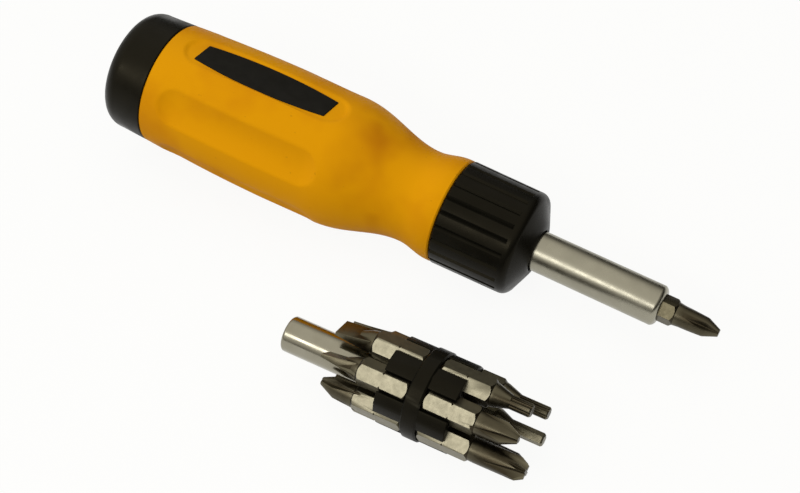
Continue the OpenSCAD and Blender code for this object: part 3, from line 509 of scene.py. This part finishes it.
cut_pocket(CAM_FROM, CAM_TO, CAM_AT - SELECTOR_TURN, CAM_AT, CAM_IN_R, CAM_OUT_R)
cut_pocket(CAM_FROM, CAM_TO, -CAM_AT - SELECTOR_TURN, -CAM_AT, CAM_OUT_R, CAM_IN_R)
cut_pocket(TRACK_FROM, TRACK_TO, TRACK_AT - SELECTOR_TURN, TRACK_AT, TRACK_R, TRACK_R)
notch_mid_r, track_mid = (BORE_R + NOTCH_OUT_R) / 2, (TRACK_FROM + TRACK_TO) / 2
for notch in range(NOTCHES):
    angle = math.radians(TRACK_AT - notch * SELECTOR_TURN / (NOTCHES - 1))
    bpy.ops.object.select_all(action="DESELECT")
    bpy.ops.mesh.primitive_cylinder_add(
        vertices=NOTCH_SIDES,
        radius=NOTCH_R * MM,
        depth=(NOTCH_OUT_R - BORE_R) * MM,
        location=Vector((notch_mid_r * math.cos(angle), notch_mid_r * math.sin(angle), track_mid)) * MM,
        rotation=(0, math.pi / 2, angle),
    )
    cut(collar, bpy.context.object)
collar.data.materials.append(black_abs("black_abs_collar", rub=0.8, shine=0.1))
smooth(collar, 28)
place(collar, tool_place)
hand_over(collar, "collar", "black_plastic", "selector_collar")

# Shank: a steel bar turned in steps for its clip, wheel and bearing, and plated in satin nickel. A hexagon
# socket is broached into its rounded mouth, and a plain bore behind clears the bit's back end.
SHANK_R, SHANK_AT, SHANK_BACK, SHANK_EDGE, SHANK_STEP = 5.4, 59.2, 15.8, 0.3, 0.1
BEARING_R, JOURNAL_R, SEAT_R, SEAT_FROM, SEAT_TO = 5.0, 3.6, 4.05, 5.08, 12.97
CLIP_AT, CLIP_T, CLIP_GROOVE_R = 14.52, 0.74, 3.0
SOCKET_AF, SOCKET_BORE_R, SOCKET_BORE_AT = 6.47, 3.35, 20
HEX_TURN = math.radians(45.75)
BIT_HEX, BIT_WAIST, DRIVER_SHOWS, DRIVER_BACK_TIP = 13.7, 4.3, 4.0, 10.5
# Sides of a small round piece, and how far a tool reaches past what it cuts.
SMALL_SIDES, CLEAR = 64, 1
# How far the rings of the rounded mouth lie inside the shank's outside, and behind its end.
MOUTH_RINGS = ((0, 1.25), (0.06, 1.0), (0.45, 0.45), (0.9, 0.12), (1.2, 0))
RING_STRETCH = 0.02


# Nickel or chrome plate over turned steel: bright but satin, with rings from the lathe and faint handling
# smears. The rings are drawn out round the axis, and coarser than real ones, so that they show.
def turned_metal(name, axis_turn, light, dark, rough, ring_mm, ring_deep_mm):
    material, where = new_material(name)
    smear_mm = 5
    smears = add(material, "TexNoise", Vector=where, Scale=1 / (smear_mm * MM), Detail=3, Roughness=0.6)
    base = add(material, "Mix", smears, colour(light), colour(dark), data_type="RGBA")
    stretch = (1, RING_STRETCH, RING_STRETCH)
    drawn_out = add(material, "Mapping", Vector=where, Rotation=axis_turn, Scale=stretch)
    rings = add(material, "TexNoise", Vector=drawn_out, Scale=1 / (ring_mm * MM), Detail=3, Roughness=0.6)
    bump = add(material, "Bump", Height=rings, Strength=0.2, Distance=ring_deep_mm * MM)
    dull, bright = rough + 0.07, rough - 0.05
    rough = add(material, "MapRange", Value=smears, From_Min=0.3, From_Max=0.7, To_Min=bright, To_Max=dull)
    shader = add(material, "BsdfPrincipled", Base_Color=base, Metallic=1.0, Roughness=rough, Normal=bump)
    add(material, "OutputMaterial", Surface=shader)
    return material


def hex_bar(name, across_flats, low, high):
    """A hexagon bar with a flat facing +X."""
    bpy.ops.object.select_all(action="DESELECT")
    bpy.ops.mesh.primitive_cylinder_add(
        vertices=6,
        radius=across_flats / 2 / math.cos(math.pi / 6) * MM,
        depth=(high - low) * MM,
        location=(0, 0, (low + high) / 2 * MM),
    )
    bar = bpy.context.object
    bar.name = bar.data.name = name
    bpy.ops.object.transform_apply(location=True, rotation=True, scale=True)
    return bar


driver_mid = SHANK_AT + DRIVER_SHOWS - BIT_HEX - BIT_WAIST / 2
driver_hex_back = driver_mid - BIT_WAIST / 2 - BIT_HEX
tilt_turn = (0, math.atan2(-nose_way.z, nose_way.x), 0)
shank = turn(
    "shank",
    [(JOURNAL_R - SHANK_EDGE, -SHANK_BACK), (JOURNAL_R, -SHANK_BACK + SHANK_EDGE), (JOURNAL_R, -CLIP_AT)]
    + [(CLIP_GROOVE_R, -CLIP_AT), (CLIP_GROOVE_R, -CLIP_AT + CLIP_T), (JOURNAL_R, -CLIP_AT + CLIP_T)]
    + [(JOURNAL_R, SEAT_FROM), (SEAT_R, SEAT_FROM), (SEAT_R, SEAT_TO), (BEARING_R, SEAT_TO)]
    + [(BEARING_R, COLLAR_LEN + SEAM), (SHANK_R, COLLAR_LEN + SEAM + SHANK_STEP)]
    + [(SHANK_R - inside, SHANK_AT - behind) for inside, behind in MOUTH_RINGS],
    TURNED_SIDES,
)
socket = hex_bar("socket_tool", SOCKET_AF, driver_hex_back - SEAM, SHANK_AT + CLEAR)
socket.rotation_euler.z = HEX_TURN
cut(shank, socket)
bore_from, bore_to = driver_hex_back - DRIVER_BACK_TIP, SHANK_AT - SOCKET_BORE_AT
cut(shank, turn("bore_tool", [(SOCKET_BORE_R, bore_from), (SOCKET_BORE_R, bore_to)], SMALL_SIDES))
shank_nickel = turned_metal(
    "satin_nickel_shank", tilt_turn, "#A19D8D", "#8E8A7B", rough=0.29, ring_mm=0.18, ring_deep_mm=0.006
)
shank.data.materials.append(shank_nickel)
smooth(shank, 30)
place(shank, tool_place)
hand_over(shank, "shank", "satin_nickel", "shank")

# Bits: hexagon bars of hardened steel with a turned waist in the middle and a point forged at each end. Their
# flats are ground bright, and the rest is left dark. A fine nick crosses each hexagon's corners.
BIT_AF, BIT_WAIST_R, HEX_BEVEL, NICK_AT, NICK_W, NICK_DEEP = 6.35, 2.75, 0.8, 6.7, 0.28, 0.2
BIT_CORNER_R = BIT_AF / 2 / math.cos(math.pi / 6)
NECK_R, NECK_RUN, NECK_LEN, NECK_EDGE, NECK_EDGE_LEN = 3.05, 1.6, 4.5, 0.15, 0.7
CONE_LEAN, CONE_TAPER, FLUTE_EDGE = math.radians(26.5), 0.95, 0.35
CROSS_END, CROSS_WEB, CROSS_LEAN = 0.36, 0.6, math.radians(13)
STEEP_END, STEEP_WEB, STEEP_LEAN = 0.68, 1.25, math.radians(20)
STAR_END, STAR_EDGE, STAR_GROOVE_R, STAR_GROOVE_OUT, STAR_SIDES = 0.82, 0.35, 0.27, 1.03, 20
KEY_SIDES, KEY_END, KEY_EDGE = {"hex_key": 6, "square_key": 4}, 0.8, 0.45
BLADE_START, BLADE_ROOT_T, BLADE_ROOT_W, BLADE_BEVEL = NECK_RUN * 0.4, 3.4, NECK_R * 1.72, 0.12
BLADE_NECK_R, BLADE_NECK_LEN, BLADE_NECK_TAPER = 1.6, 2.6, 0.9
BLADE_KNEE, BLADE_KNEE_T, BLADE_TIP_T = 0.55, 1.9, 0.95
LONGEST_POINT = 20
STEEL_STRETCH = 0.03
hex_from, hex_to = BIT_WAIST / 2, BIT_WAIST / 2 + BIT_HEX


# Hardened tool steel: dark and satin, faintly mottled from the furnace, with rings where it was turned and
# edges rubbed bright.
def tool_steel(name, axis_turn):
    material, where = new_material(name)
    mottle_mm, ring_mm = 1.2, 0.2
    mottle = add(material, "TexNoise", Vector=where, Scale=1 / (mottle_mm * MM), Detail=4, Roughness=0.65)
    base = add(material, "Mix", mottle, colour("#2E291F"), colour("#474031"), data_type="RGBA")
    edges = add(material, "NewGeometry").outputs["Pointiness"]
    rubbed = add(material, "MapRange", Value=edges, From_Min=0.52, From_Max=0.58, To_Max=0.5)
    base = add(material, "Mix", rubbed, base, colour("#8F8972"), data_type="RGBA")
    stretch = (1, STEEL_STRETCH, STEEL_STRETCH)
    drawn_out = add(material, "Mapping", Vector=where, Rotation=axis_turn, Scale=stretch)
    rings = add(material, "TexNoise", Vector=drawn_out, Scale=1 / (ring_mm * MM), Detail=3)
    bump = add(material, "Bump", Height=rings, Strength=0.3, Distance=0.01 * MM)
    rough = add(material, "MapRange", Value=mottle, From_Min=0.3, From_Max=0.7, To_Min=0.3, To_Max=0.44)
    shader = add(material, "BsdfPrincipled", Base_Color=base, Metallic=1.0, Roughness=rough, Normal=bump)
    add(material, "OutputMaterial", Surface=shader)
    return material


# Ground steel: bright flats with a fine grain from the wheel.
def ground_flats(name, light, dark):
    material, where = new_material(name)
    stain_mm, patch_mm, grain_mm = 0.8, 1.5, 0.25
    stain = add(material, "TexNoise", Vector=where, Scale=1 / (stain_mm * MM), Detail=4, Roughness=0.6)
    base = add(material, "Mix", stain, colour(dark), colour(light), data_type="RGBA")
    grain = add(material, "TexNoise", Vector=where, Scale=1 / (grain_mm * MM), Detail=3)
    bump = add(material, "Bump", Height=grain, Strength=0.3, Distance=0.012 * MM)
    patch = add(material, "TexNoise", Vector=where, Scale=1 / (patch_mm * MM), Detail=3)
    rough = add(material, "MapRange", Value=patch, From_Min=0.3, From_Max=0.7, To_Min=0.28, To_Max=0.38)
    shader = add(material, "BsdfPrincipled", Base_Color=base, Metallic=1.0, Roughness=rough, Normal=bump)
    add(material, "OutputMaterial", Surface=shader)
    return material


def point_outline(kind, length, size):
    """Turned outline of a point before it gets its form, as radius and height from the hexagon's end."""
    if kind in ("cross", "steep_cross"):
        end_r = size * (CROSS_END if kind == "cross" else STEEP_END)
        cone = (size - end_r) / math.tan(CONE_LEAN)
        return [(NECK_R, 0), (size, NECK_RUN), (size * CONE_TAPER, length - cone), (end_r, length)]
    if kind == "blade":
        return [(NECK_R, 0), (NECK_R * BLADE_NECK_TAPER, NECK_RUN), (BLADE_NECK_R, NECK_RUN + BLADE_NECK_LEN)]
    neck = [(NECK_R, 0), (NECK_R - NECK_EDGE, NECK_EDGE_LEN)]
    if kind == "star":
        return neck + [(size, NECK_LEN), (size, length - STAR_EDGE), (size * STAR_END, length)]
    return neck + [(size * KEY_END, NECK_LEN)]


def half_outline(point):
    """Turned outline of one half of a bit, from its waist to the end of its point, as radius and height."""
    nick = hex_to - NICK_AT
    low_r = BIT_AF / 2 - HEX_BEVEL / 4
    hexagon = [(BIT_WAIST_R, hex_from), (low_r, hex_from), (BIT_CORNER_R, hex_from + HEX_BEVEL)]
    hexagon += [(BIT_CORNER_R, nick - NICK_W), (BIT_CORNER_R - NICK_DEEP, nick)]
    hexagon += [(BIT_CORNER_R, nick + NICK_W), (BIT_CORNER_R, hex_to - HEX_BEVEL), (low_r, hex_to)]
    return hexagon + [(radius, hex_to + height) for radius, height in point]


def block(name, size, middle=(0, 0, 0), turned=0):
    """A block of a size, round its middle, turned about the axis."""
    bpy.ops.object.select_all(action="DESELECT")
    bpy.ops.mesh.primitive_cube_add(size=1)
    piece = bpy.context.object
    piece.name = piece.data.name = name
    piece.scale = Vector(size) * MM
    piece.location = [part * MM for part in middle]
    piece.rotation_euler.z = turned
    bpy.ops.object.transform_apply(location=True, rotation=True, scale=True)
    return piece


def turned_over(end):
    """Turns a tool over for a bit's back end, -1."""
    return Matrix.Rotation(math.pi * (end < 0), 4, "X")


def cut_flutes(bit, end, length, turn_by, web, lean):
    """Grinds four flutes into a cross point."""
    tip = (hex_to + length) * end
    for flute in range(4):
        wheel = block("wheel_tool", (BIT_AF, BIT_AF, 4 * length), turned=math.pi / 4)
        soften(wheel, FLUTE_EDGE, segments=3, degrees=30)
        wheel.matrix_world = (
            Matrix.Rotation(turn_by + flute * math.pi / 2, 4, "Z")
            @ Matrix.Translation(Vector((web, 0, tip)) * MM)
            @ Matrix.Rotation(-lean * end, 4, "Y")
            @ Matrix.Translation(Vector((BIT_AF / math.sqrt(2), 0, 0)) * MM)
        )
        cut(bit, wheel)


def join_blade(bit, end, length, width, turn_by):
    """Forges a flat blade on to a bit's neck: a block drawn out thin, to a knee and then to its edge."""
    root = hex_to + BLADE_START
    reach = length - BLADE_START
    knee = root + reach * BLADE_KNEE
    blade = block("blade_tool", (BLADE_ROOT_T, BLADE_ROOT_W, reach), (0, 0, root + reach / 2))
    select_where(blade, lambda p: True)
    bpy.ops.mesh.bisect(plane_co=(0, 0, knee * MM), plane_no=(0, 0, 1))
    edit_done()
    for at, thick in ((knee, BLADE_KNEE_T), (root + reach, BLADE_TIP_T)):
        select_where(blade, lambda p: abs(p.z - at) < NEAR)
        stretch = (thick / BLADE_ROOT_T, width / BLADE_ROOT_W, 1)
        bpy.ops.transform.resize(value=stretch, center_override=(0, 0, at * MM))
        edit_done()
    soften(blade, BLADE_BEVEL, segments=2, degrees=50)
    blade.matrix_world = Matrix.Rotation(turn_by, 4, "Z") @ turned_over(end)
    cut(bit, blade, "UNION")


def cut_star(bit, end, length, radius):
    """Mills the grooves between six lobes along a round point."""
    reach = length - NECK_LEN + 2 * CLEAR
    for groove in range(6):
        angle = (groove + 0.5) * math.pi / 3
        bpy.ops.object.select_all(action="DESELECT")
        bpy.ops.mesh.primitive_cylinder_add(
            vertices=STAR_SIDES,
            radius=radius * STAR_GROOVE_R * MM,
            depth=reach * MM,
            location=(
                radius * STAR_GROOVE_OUT * math.cos(angle) * MM,
                radius * STAR_GROOVE_OUT * math.sin(angle) * MM,
                end * (hex_to + NECK_LEN + reach / 2) * MM,
            ),
        )
        cut(bit, bpy.context.object)


def join_key(bit, end, length, radius, sides):
    """Draws a flat-sided key out of a bit's neck."""
    root, tip = hex_to + NECK_RUN, hex_to + length
    key = turn("key_tool", [(radius, root), (radius, tip - KEY_EDGE), (radius * KEY_END, tip)], sides)
    key.matrix_world = turned_over(end)
    cut(bit, key, "UNION")


def shape_point(bit, end, kind, length, size, degrees):
    """Gives a point its form, at the bit's front end, 1, or its back end, -1."""
    turn_by = math.radians(degrees)
    if kind in ("cross", "steep_cross"):
        cut_flutes(bit, end, length, turn_by, CROSS_WEB, CROSS_LEAN)
    if kind == "steep_cross":
        cut_flutes(bit, end, length, turn_by + math.pi / 4, STEEP_WEB, STEEP_LEAN)
    if kind == "star":
        cut_star(bit, end, length, size)
    if kind in KEY_SIDES:
        join_key(bit, end, length, size, KEY_SIDES[kind])
    if kind == "blade":
        join_blade(bit, end, length, size, turn_by)


def make_bit(name, hex_turn, front, back, steel, flats):
    """One bit round the origin. front and back are kind, length, size and degrees of turn of its points."""
    front_half = half_outline(point_outline(*front[:3]))
    back_half = [(radius, -height) for radius, height in half_outline(point_outline(*back[:3]))]
    bit = turn(name, back_half[::-1] + front_half, SMALL_SIDES)
    bar = hex_bar("bar_tool", BIT_AF, -hex_to - LONGEST_POINT, hex_to + LONGEST_POINT)
    bar.rotation_euler.z = hex_turn
    cut(bit, bar, "INTERSECT")
    shape_point(bit, 1, *front)
    shape_point(bit, -1, *back)
    bit.data.materials.append(steel)
    bit.data.materials.append(flats)
    for face in bit.data.polygons:
        middle = face.center / MM
        on_hexagon = hex_from < abs(middle.z) < hex_to
        on_flat = abs(face.normal.z) < NEAR and math.hypot(middle.x, middle.y) > BIT_AF / 2 - NEAR
        face.material_index = int(on_hexagon and on_flat)
    smooth(bit, 30)
    return bit


# Driver bit: the bit in use, pushed into the shank's socket and held there by a magnet and a snap ring. Only
# its cross point and a little of its hexagon show, and a blade is hidden in the bore.
DRIVER_TIP, DRIVER_POINT_R, DRIVER_BLADE_W, DRIVER_TURN = 11.5, 2.85, 5.2, 38.75

driver = make_bit(
    "driver_bit",
    HEX_TURN,
    ("cross", DRIVER_TIP, DRIVER_POINT_R, DRIVER_TURN),
    ("blade", DRIVER_BACK_TIP, DRIVER_BLADE_W, DRIVER_TURN),
    tool_steel("hardened_steel_driver", tilt_turn),
    # Its flats get darker colours than the stored bits' flats: painted shade on the same ground steel.
    ground_flats("ground_steel_driver_painted_shade", "#5E5846", "#494434"),
)
place(driver, tool_place @ Matrix.Translation((0, 0, driver_mid * MM)))
hand_over(driver, "driver_bit", "tool_steel", "driver_bit")

# Stored bits: six more, pushed half way through the holes of the carrier, which lies flat beside the tool.
# Each has a kind, a length, a size and a turn in degrees for its front point, and for its back one.
STORED = {
    "slotted_phillips_bit": (("cross", 10.4, 2.95, 20), ("blade", 9.9, 5.2, -85)),
    "phillips_pozidriv_bit": (("steep_cross", 14, 3.1, 55), ("cross", 9.4, 2.95, 10)),
    "slotted_small_phillips_bit": (("cross", 12, 2.35, 30), ("blade", 9.5, 4.5, 30)),
    "square_hex_bit": (("hex_key", 12.7, 1.73, 0), ("square_key", 9.5, 1.9, 45)),
    "slotted_small_torx_bit": (("star", 12.3, 1.65, 0), ("blade", 9.5, 5.2, -11)),
    "slotted_torx_bit": (("star", 10, 1.75, 0), ("blade", 9.9, 6, 0)),
}
BIT_RING_R, FIRST_HOLE, HOLE_PITCH = 7.95, 41, 60
CARRIER_HALF_T, FIN_REACH = 2.1, 7.4

# The carrier's pieces are modelled upright round the middle of its disc, and laid down with their front
# towards +X.
carrier_low, carrier_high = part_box("bit_carrier")
carrier_place = Matrix(((0, 0, 1), (0, -1, 0), (1, 0, 0))).to_4x4()
carrier_place.translation = (carrier_low + carrier_high) / 2
carrier_place.translation.x = carrier_high.x - (CARRIER_HALF_T + FIN_REACH) * MM


def hole_place(hole):
    """Where a hole of the carrier lies round its axis."""
    angle = math.radians(FIRST_HOLE + HOLE_PITCH * hole)
    return Matrix.Rotation(angle, 4, "Z") @ Matrix.Translation((BIT_RING_R * MM, 0, 0))


stored_steel = tool_steel("hardened_steel_stored", (0, 0, 0))
stored_flats = ground_flats("ground_steel_stored", "#7C7765", "#6F6A59")
for hole, (name, (front, back)) in enumerate(STORED.items()):
    bit = make_bit(name, 0, front, back, stored_steel, stored_flats)
    place(bit, carrier_place @ hole_place(hole))
    hand_over(bit, name, "tool_steel", name)

# Carrier disc: a black moulded disc with six hexagon holes, in which the waists of the bits lie, and a post
# behind it that carries the sleeve.
CARRIER_R, CARRIER_EDGE, POST_R, POST_LEN, POST_EDGE = 11.65, 0.4, 2.9, 12.0, 0.3

disc = turn(
    "carrier_disc",
    [(POST_R - POST_EDGE, -CARRIER_HALF_T - POST_LEN), (POST_R, -CARRIER_HALF_T - POST_LEN + POST_EDGE)]
    + [(POST_R, -CARRIER_HALF_T), (CARRIER_R - CARRIER_EDGE, -CARRIER_HALF_T)]
    + [(CARRIER_R, -CARRIER_HALF_T + CARRIER_EDGE), (CARRIER_R, CARRIER_HALF_T - CARRIER_EDGE)]
    + [(CARRIER_R - CARRIER_EDGE, CARRIER_HALF_T)],
    TURNED_SIDES,
)
for hole in range(len(STORED)):
    bar = hex_bar("hole_tool", SOCKET_AF, -CARRIER_HALF_T - CLEAR, CARRIER_HALF_T + CLEAR)
    bar.matrix_world = hole_place(hole)
    cut(disc, bar)
carrier_black = black_abs("black_abs_carrier", rub=0.6, shine=0.11)
disc.data.materials.append(carrier_black)
smooth(disc)
place(disc, carrier_place)
hand_over(disc, "carrier", "black_plastic", "bit_carrier")

# Carrier fins: moulded with the disc, one between each two bits, standing out of both its faces. A wide head
# with a crest along it lies between the bits' outer flats, and a thin stem runs in towards the sleeve.
FIN_HEAD_W, FIN_HEAD_T, FIN_STEM_W, FIN_GAP, FIN_EDGE = 5.8, 0.6, 1.2, 0.5, 0.18
CREST_IN, CREST_SIDE, SLEEVE_R, STEM_GAP = 0.25, 0.8, 4.65, 0.25

flat_gap = BIT_RING_R / 2 - BIT_AF / 2
flat_x = BIT_RING_R * math.cos(math.pi / 6) + BIT_CORNER_R / 2
head_x = flat_x + (FIN_HEAD_W / 2 - flat_gap + FIN_GAP) / math.tan(math.pi / 3)
stem_x = flat_x + (FIN_STEM_W / 2 - flat_gap + FIN_GAP) / math.tan(math.pi / 3)
fin_size = (FIN_HEAD_T, FIN_HEAD_W, 2 * (CARRIER_HALF_T + FIN_REACH))
fin = block("carrier_fin", fin_size, (head_x + FIN_HEAD_T / 2, 0, 0))
for line_y in (-FIN_STEM_W / 2, FIN_STEM_W / 2, 0):
    select_where(fin, lambda p: True)
    bpy.ops.mesh.bisect(plane_co=(0, line_y * MM, 0), plane_no=(0, 1, 0))
    edit_done()
select_where(fin, lambda p: abs(p.y) < FIN_STEM_W / 2 + NEAR and p.x < head_x + NEAR)
bpy.ops.transform.translate(value=((stem_x - head_x) * MM, 0, 0))
edit_done()
crest = CARRIER_R - CREST_IN - head_x - FIN_HEAD_T
for ridge_y, share in ((0, 1), (FIN_STEM_W / 2, CREST_SIDE)):
    select_where(fin, lambda p: abs(abs(p.y) - ridge_y) < NEAR and p.x > head_x + FIN_HEAD_T - NEAR)
    bpy.ops.transform.translate(value=(crest * share * MM, 0, 0))
    edit_done()
select_where(fin, lambda p: abs(p.y) < FIN_STEM_W / 2 + NEAR and p.x < stem_x + NEAR)
stem_reach = ((SLEEVE_R + STEM_GAP - stem_x) * MM, 0, 0)
bpy.ops.mesh.extrude_region_move(TRANSFORM_OT_translate={"value": stem_reach})
edit_done()
soften(fin, FIN_EDGE, segments=2, degrees=40)
fin.data.materials.append(carrier_black)
smooth(fin, 40)
for number in range(len(STORED)):
    pick(fin)
    bpy.ops.object.duplicate()
    copy = bpy.context.object
    copy.name = copy.data.name = f"carrier_fin_{number + 1}"
    between = math.radians(FIRST_HOLE + HOLE_PITCH / 2 + HOLE_PITCH * number)
    place(copy, carrier_place @ Matrix.Rotation(between, 4, "Z"))
    hand_over(copy, "carrier", "black_plastic", "bit_carrier")
bpy.data.objects.remove(fin)

# Socket sleeve: a steel tube, turned and chromed, and pushed over the carrier's post. A hexagon socket for
# nuts is broached into its open end.
SLEEVE_AT, SLEEVE_SOCKET, SLEEVE_EDGE, SLEEVE_GAP = 39.2, 14.0, 0.3, 0.02
POST_FIT, POST_ROOM = 0.06, 0.25
# How far the rings of the rounded open end lie inside the sleeve's outside, and in from its end.
OPEN_RINGS = ((0.75, 0), (0.25, 0.1), (0.05, 0.35), (0, 0.7))

sleeve_front = -CARRIER_HALF_T - SLEEVE_GAP
sleeve = turn(
    "socket_sleeve",
    [(SLEEVE_R - inside, -SLEEVE_AT + along) for inside, along in OPEN_RINGS]
    + [(SLEEVE_R, sleeve_front - SLEEVE_EDGE), (SLEEVE_R - SLEEVE_EDGE, sleeve_front)],
    TURNED_SIDES,
)
post_bore_r, post_bore_from = POST_R + POST_FIT, sleeve_front - POST_LEN - POST_ROOM
cut(sleeve, turn("bore_tool", [(post_bore_r, post_bore_from), (post_bore_r, CLEAR)], SMALL_SIDES))
cut(sleeve, hex_bar("socket_tool", SOCKET_AF, -SLEEVE_AT - CLEAR, -SLEEVE_AT + SLEEVE_SOCKET))
sleeve_chrome = turned_metal(
    "bright_chrome_sleeve", (0, 0, 0), "#9E9A8B", "#8C8776", rough=0.17, ring_mm=0.3, ring_deep_mm=0.003
)
sleeve.data.materials.append(sleeve_chrome)
smooth(sleeve)
place(sleeve, carrier_place)
hand_over(sleeve, "sleeve", "chrome", "socket_sleeve")

# Works inside: the drum and what it holds, the cap's seal, and the shank's clip, magnet and ring. All are
# closed in by the pieces above. Each finish has its light colour, whether it is metal, its roughness and the
# pieces that have it.
WORKS = {
    # Rubber: dull and black.
    "seal_rubber": ("#1A1A1A", 0, 0.55, ["cap_seal_ring"]),
    # Zinc as cast: grey and matt.
    "zinc_casting": ("#9C9C98", 1, 0.5, ["ratchet_housing"]),
    # Spring steel, blued by its tempering.
    "blued_spring_steel": (
        "#4C515B",
        1,
        0.35,
        ["collar_snap_ring", "pawl_leaf_spring", "detent_spring", "shank_circlip", "bit_snap_ring"],
    ),
    # Hardened steel: grey with a faint brown from the oil.
    "hardened_pawl_steel": ("#86827A", 1, 0.35, ["forward_pawl", "reverse_pawl", "ratchet_gear"]),
    # Ground steel: light and even.
    "ground_pin_steel": ("#B5B2AA", 1, 0.25, ["pawl_pins", "shank_washer"]),
    # Polished steel: nearly a mirror.
    "polished_ball_steel": ("#CFCDC6", 1, 0.12, ["detent_ball"]),
    # Bronze pressed from powder: brown yellow and open-grained.
    "sintered_bronze": ("#A8793F", 1, 0.5, ["front_bushing", "gear_washer"]),
    # Magnet with nickel plate: pale grey and smooth.
    "nickelled_magnet": ("#8F8D88", 1, 0.3, ["bit_magnet"]),
}


# Small hidden pieces: stained darker in places, with the fine grain that casting, moulding or tumbling
# leaves.
def inner_finish(name, code, metallic, rough):
    material, where = new_material(name)
    stain_mm, patch_mm, grain_mm = 1.5, 1, 0.2
    light = colour(code)
    dark = [part * 0.7 for part in light[:3]] + [1]
    stain = add(material, "TexNoise", Vector=where, Scale=1 / (stain_mm * MM), Detail=4, Roughness=0.6)
    base = add(material, "Mix", stain, dark, light, data_type="RGBA")
    grain = add(material, "TexNoise", Vector=where, Scale=1 / (grain_mm * MM), Detail=3)
    bump = add(material, "Bump", Height=grain, Strength=0.25, Distance=0.01 * MM)
    patch = add(material, "TexNoise", Vector=where, Scale=1 / (patch_mm * MM))
    dull = rough + 0.12
    rough = add(material, "MapRange", Value=patch, From_Min=0.3, From_Max=0.7, To_Min=rough, To_Max=dull)
    shader = add(material, "BsdfPrincipled", Base_Color=base, Metallic=metallic, Roughness=rough, Normal=bump)
    add(material, "OutputMaterial", Surface=shader)
    return material


for finish_name, (code, metallic, rough, node_names) in WORKS.items():
    material = inner_finish(finish_name, code, metallic, rough)
    for node_name in node_names:
        slots = frame["nodes"][node_name].data.materials
        slots.clear()
        slots.append(material)

# Floor: a wide sheet of plain white paper under everything. The camera and the metal see it almost white, and
# it keeps the faint shadow of the tool and the carrier.
FLOOR_W, FLOOR_DROP = 6, 0.0002
SEEN_WHITE = 0.93

bpy.ops.object.select_all(action="DESELECT")
bpy.ops.mesh.primitive_plane_add(size=FLOOR_W, location=(0, 0, -FLOOR_DROP))
floor = bpy.context.object
floor.name = "floor"
# White paper: matt and even. It lights the object as a pale grey, and glows where the camera or a gloss
# sees it.
paper = new_material("white_paper")[0]
seen = add(paper, "LightPath").outputs
shown = add(paper, "Math", seen["Is Camera Ray"], seen["Is Glossy Ray"], operation="MAXIMUM")
shown = add(paper, "Math", shown, seen["Is Transmission Ray"], operation="MAXIMUM")
share = add(paper, "Math", shown, SEEN_WHITE, operation="MULTIPLY")
sheet = add(paper, "Mix", shown, colour("#B9B7B2"), colour("#FBFBFA"), data_type="RGBA")
dull = add(paper, "BsdfDiffuse", Color=sheet)
glow = add(paper, "Emission", Color=colour("#FEFEFD"), Strength=1.0)
add(paper, "OutputMaterial", Surface=add(paper, "MixShader", share, dull, glow))
floor.data.materials.append(paper)

# Light: a room lit softly from its ceiling and darker towards its walls, with one long low window behind the
# photographer. Sizes are in metres.
CEILING_WAY, DARK_AT, LIGHT_AT = Vector((-0.27, -0.16, 0.95)), 0.06, 0.8
MIDDLE, WINDOW_OFF = Vector((0, 0, 0.015)), Vector((-0.1, -0.56, 0.45))
WINDOW_W, WINDOW_H, WINDOW_POWER = 0.7, 0.17, 1.6

world = bpy.data.worlds.new("room")
bpy.context.scene.world = world
world.use_nodes = True
world.node_tree.nodes.clear()
way = add(world, "TexCoord").outputs["Generated"]
upwards = add(world, "VectorMath", way, CEILING_WAY, operation="DOT_PRODUCT")
lit = add(
    world, "MapRange", Value=upwards, From_Min=DARK_AT, From_Max=LIGHT_AT, interpolation_type="SMOOTHSTEP"
)
tone = add(world, "Mix", lit, colour("#2B2820"), colour("#FFFCF4"), data_type="RGBA")
add(world, "OutputWorld", Surface=add(world, "Background", Color=tone, Strength=1.0))

window = bpy.data.lights.new("window", "AREA")
window.shape = "RECTANGLE"
window.size, window.size_y, window.energy = WINDOW_W, WINDOW_H, WINDOW_POWER
lamp = bpy.data.objects.new("window", window)
bpy.context.scene.collection.objects.link(lamp)
lamp.location = MIDDLE + WINDOW_OFF
lamp.rotation_euler = (MIDDLE - (MIDDLE + WINDOW_OFF)).to_track_quat("-Z", "Y").to_euler()

# Camera: a long lens in the photographer's hand, above the carrier's side of the bench and level with the
# horizon. Its place and its way were fitted to the outlines in the photograph.
LENS, SENSOR_W = 79.302, 36
CAMERA_AT = Vector((147.33, -251.57, 356.58)) * MM
LOOK = Vector((-0.31342, 0.57188, -0.7581))
NEAREST, FARTHEST = 0.01, 20

view = bpy.data.cameras.new("camera")
view.lens, view.sensor_width = LENS, SENSOR_W
view.clip_start, view.clip_end = NEAREST, FARTHEST
camera = bpy.data.objects.new("camera", view)
bpy.context.scene.collection.objects.link(camera)
camera.location = CAMERA_AT
camera.rotation_euler = LOOK.to_track_quat("-Z", "Y").to_euler()
bpy.context.scene.camera = camera
bpy.context.scene.view_settings.view_transform = "Standard"
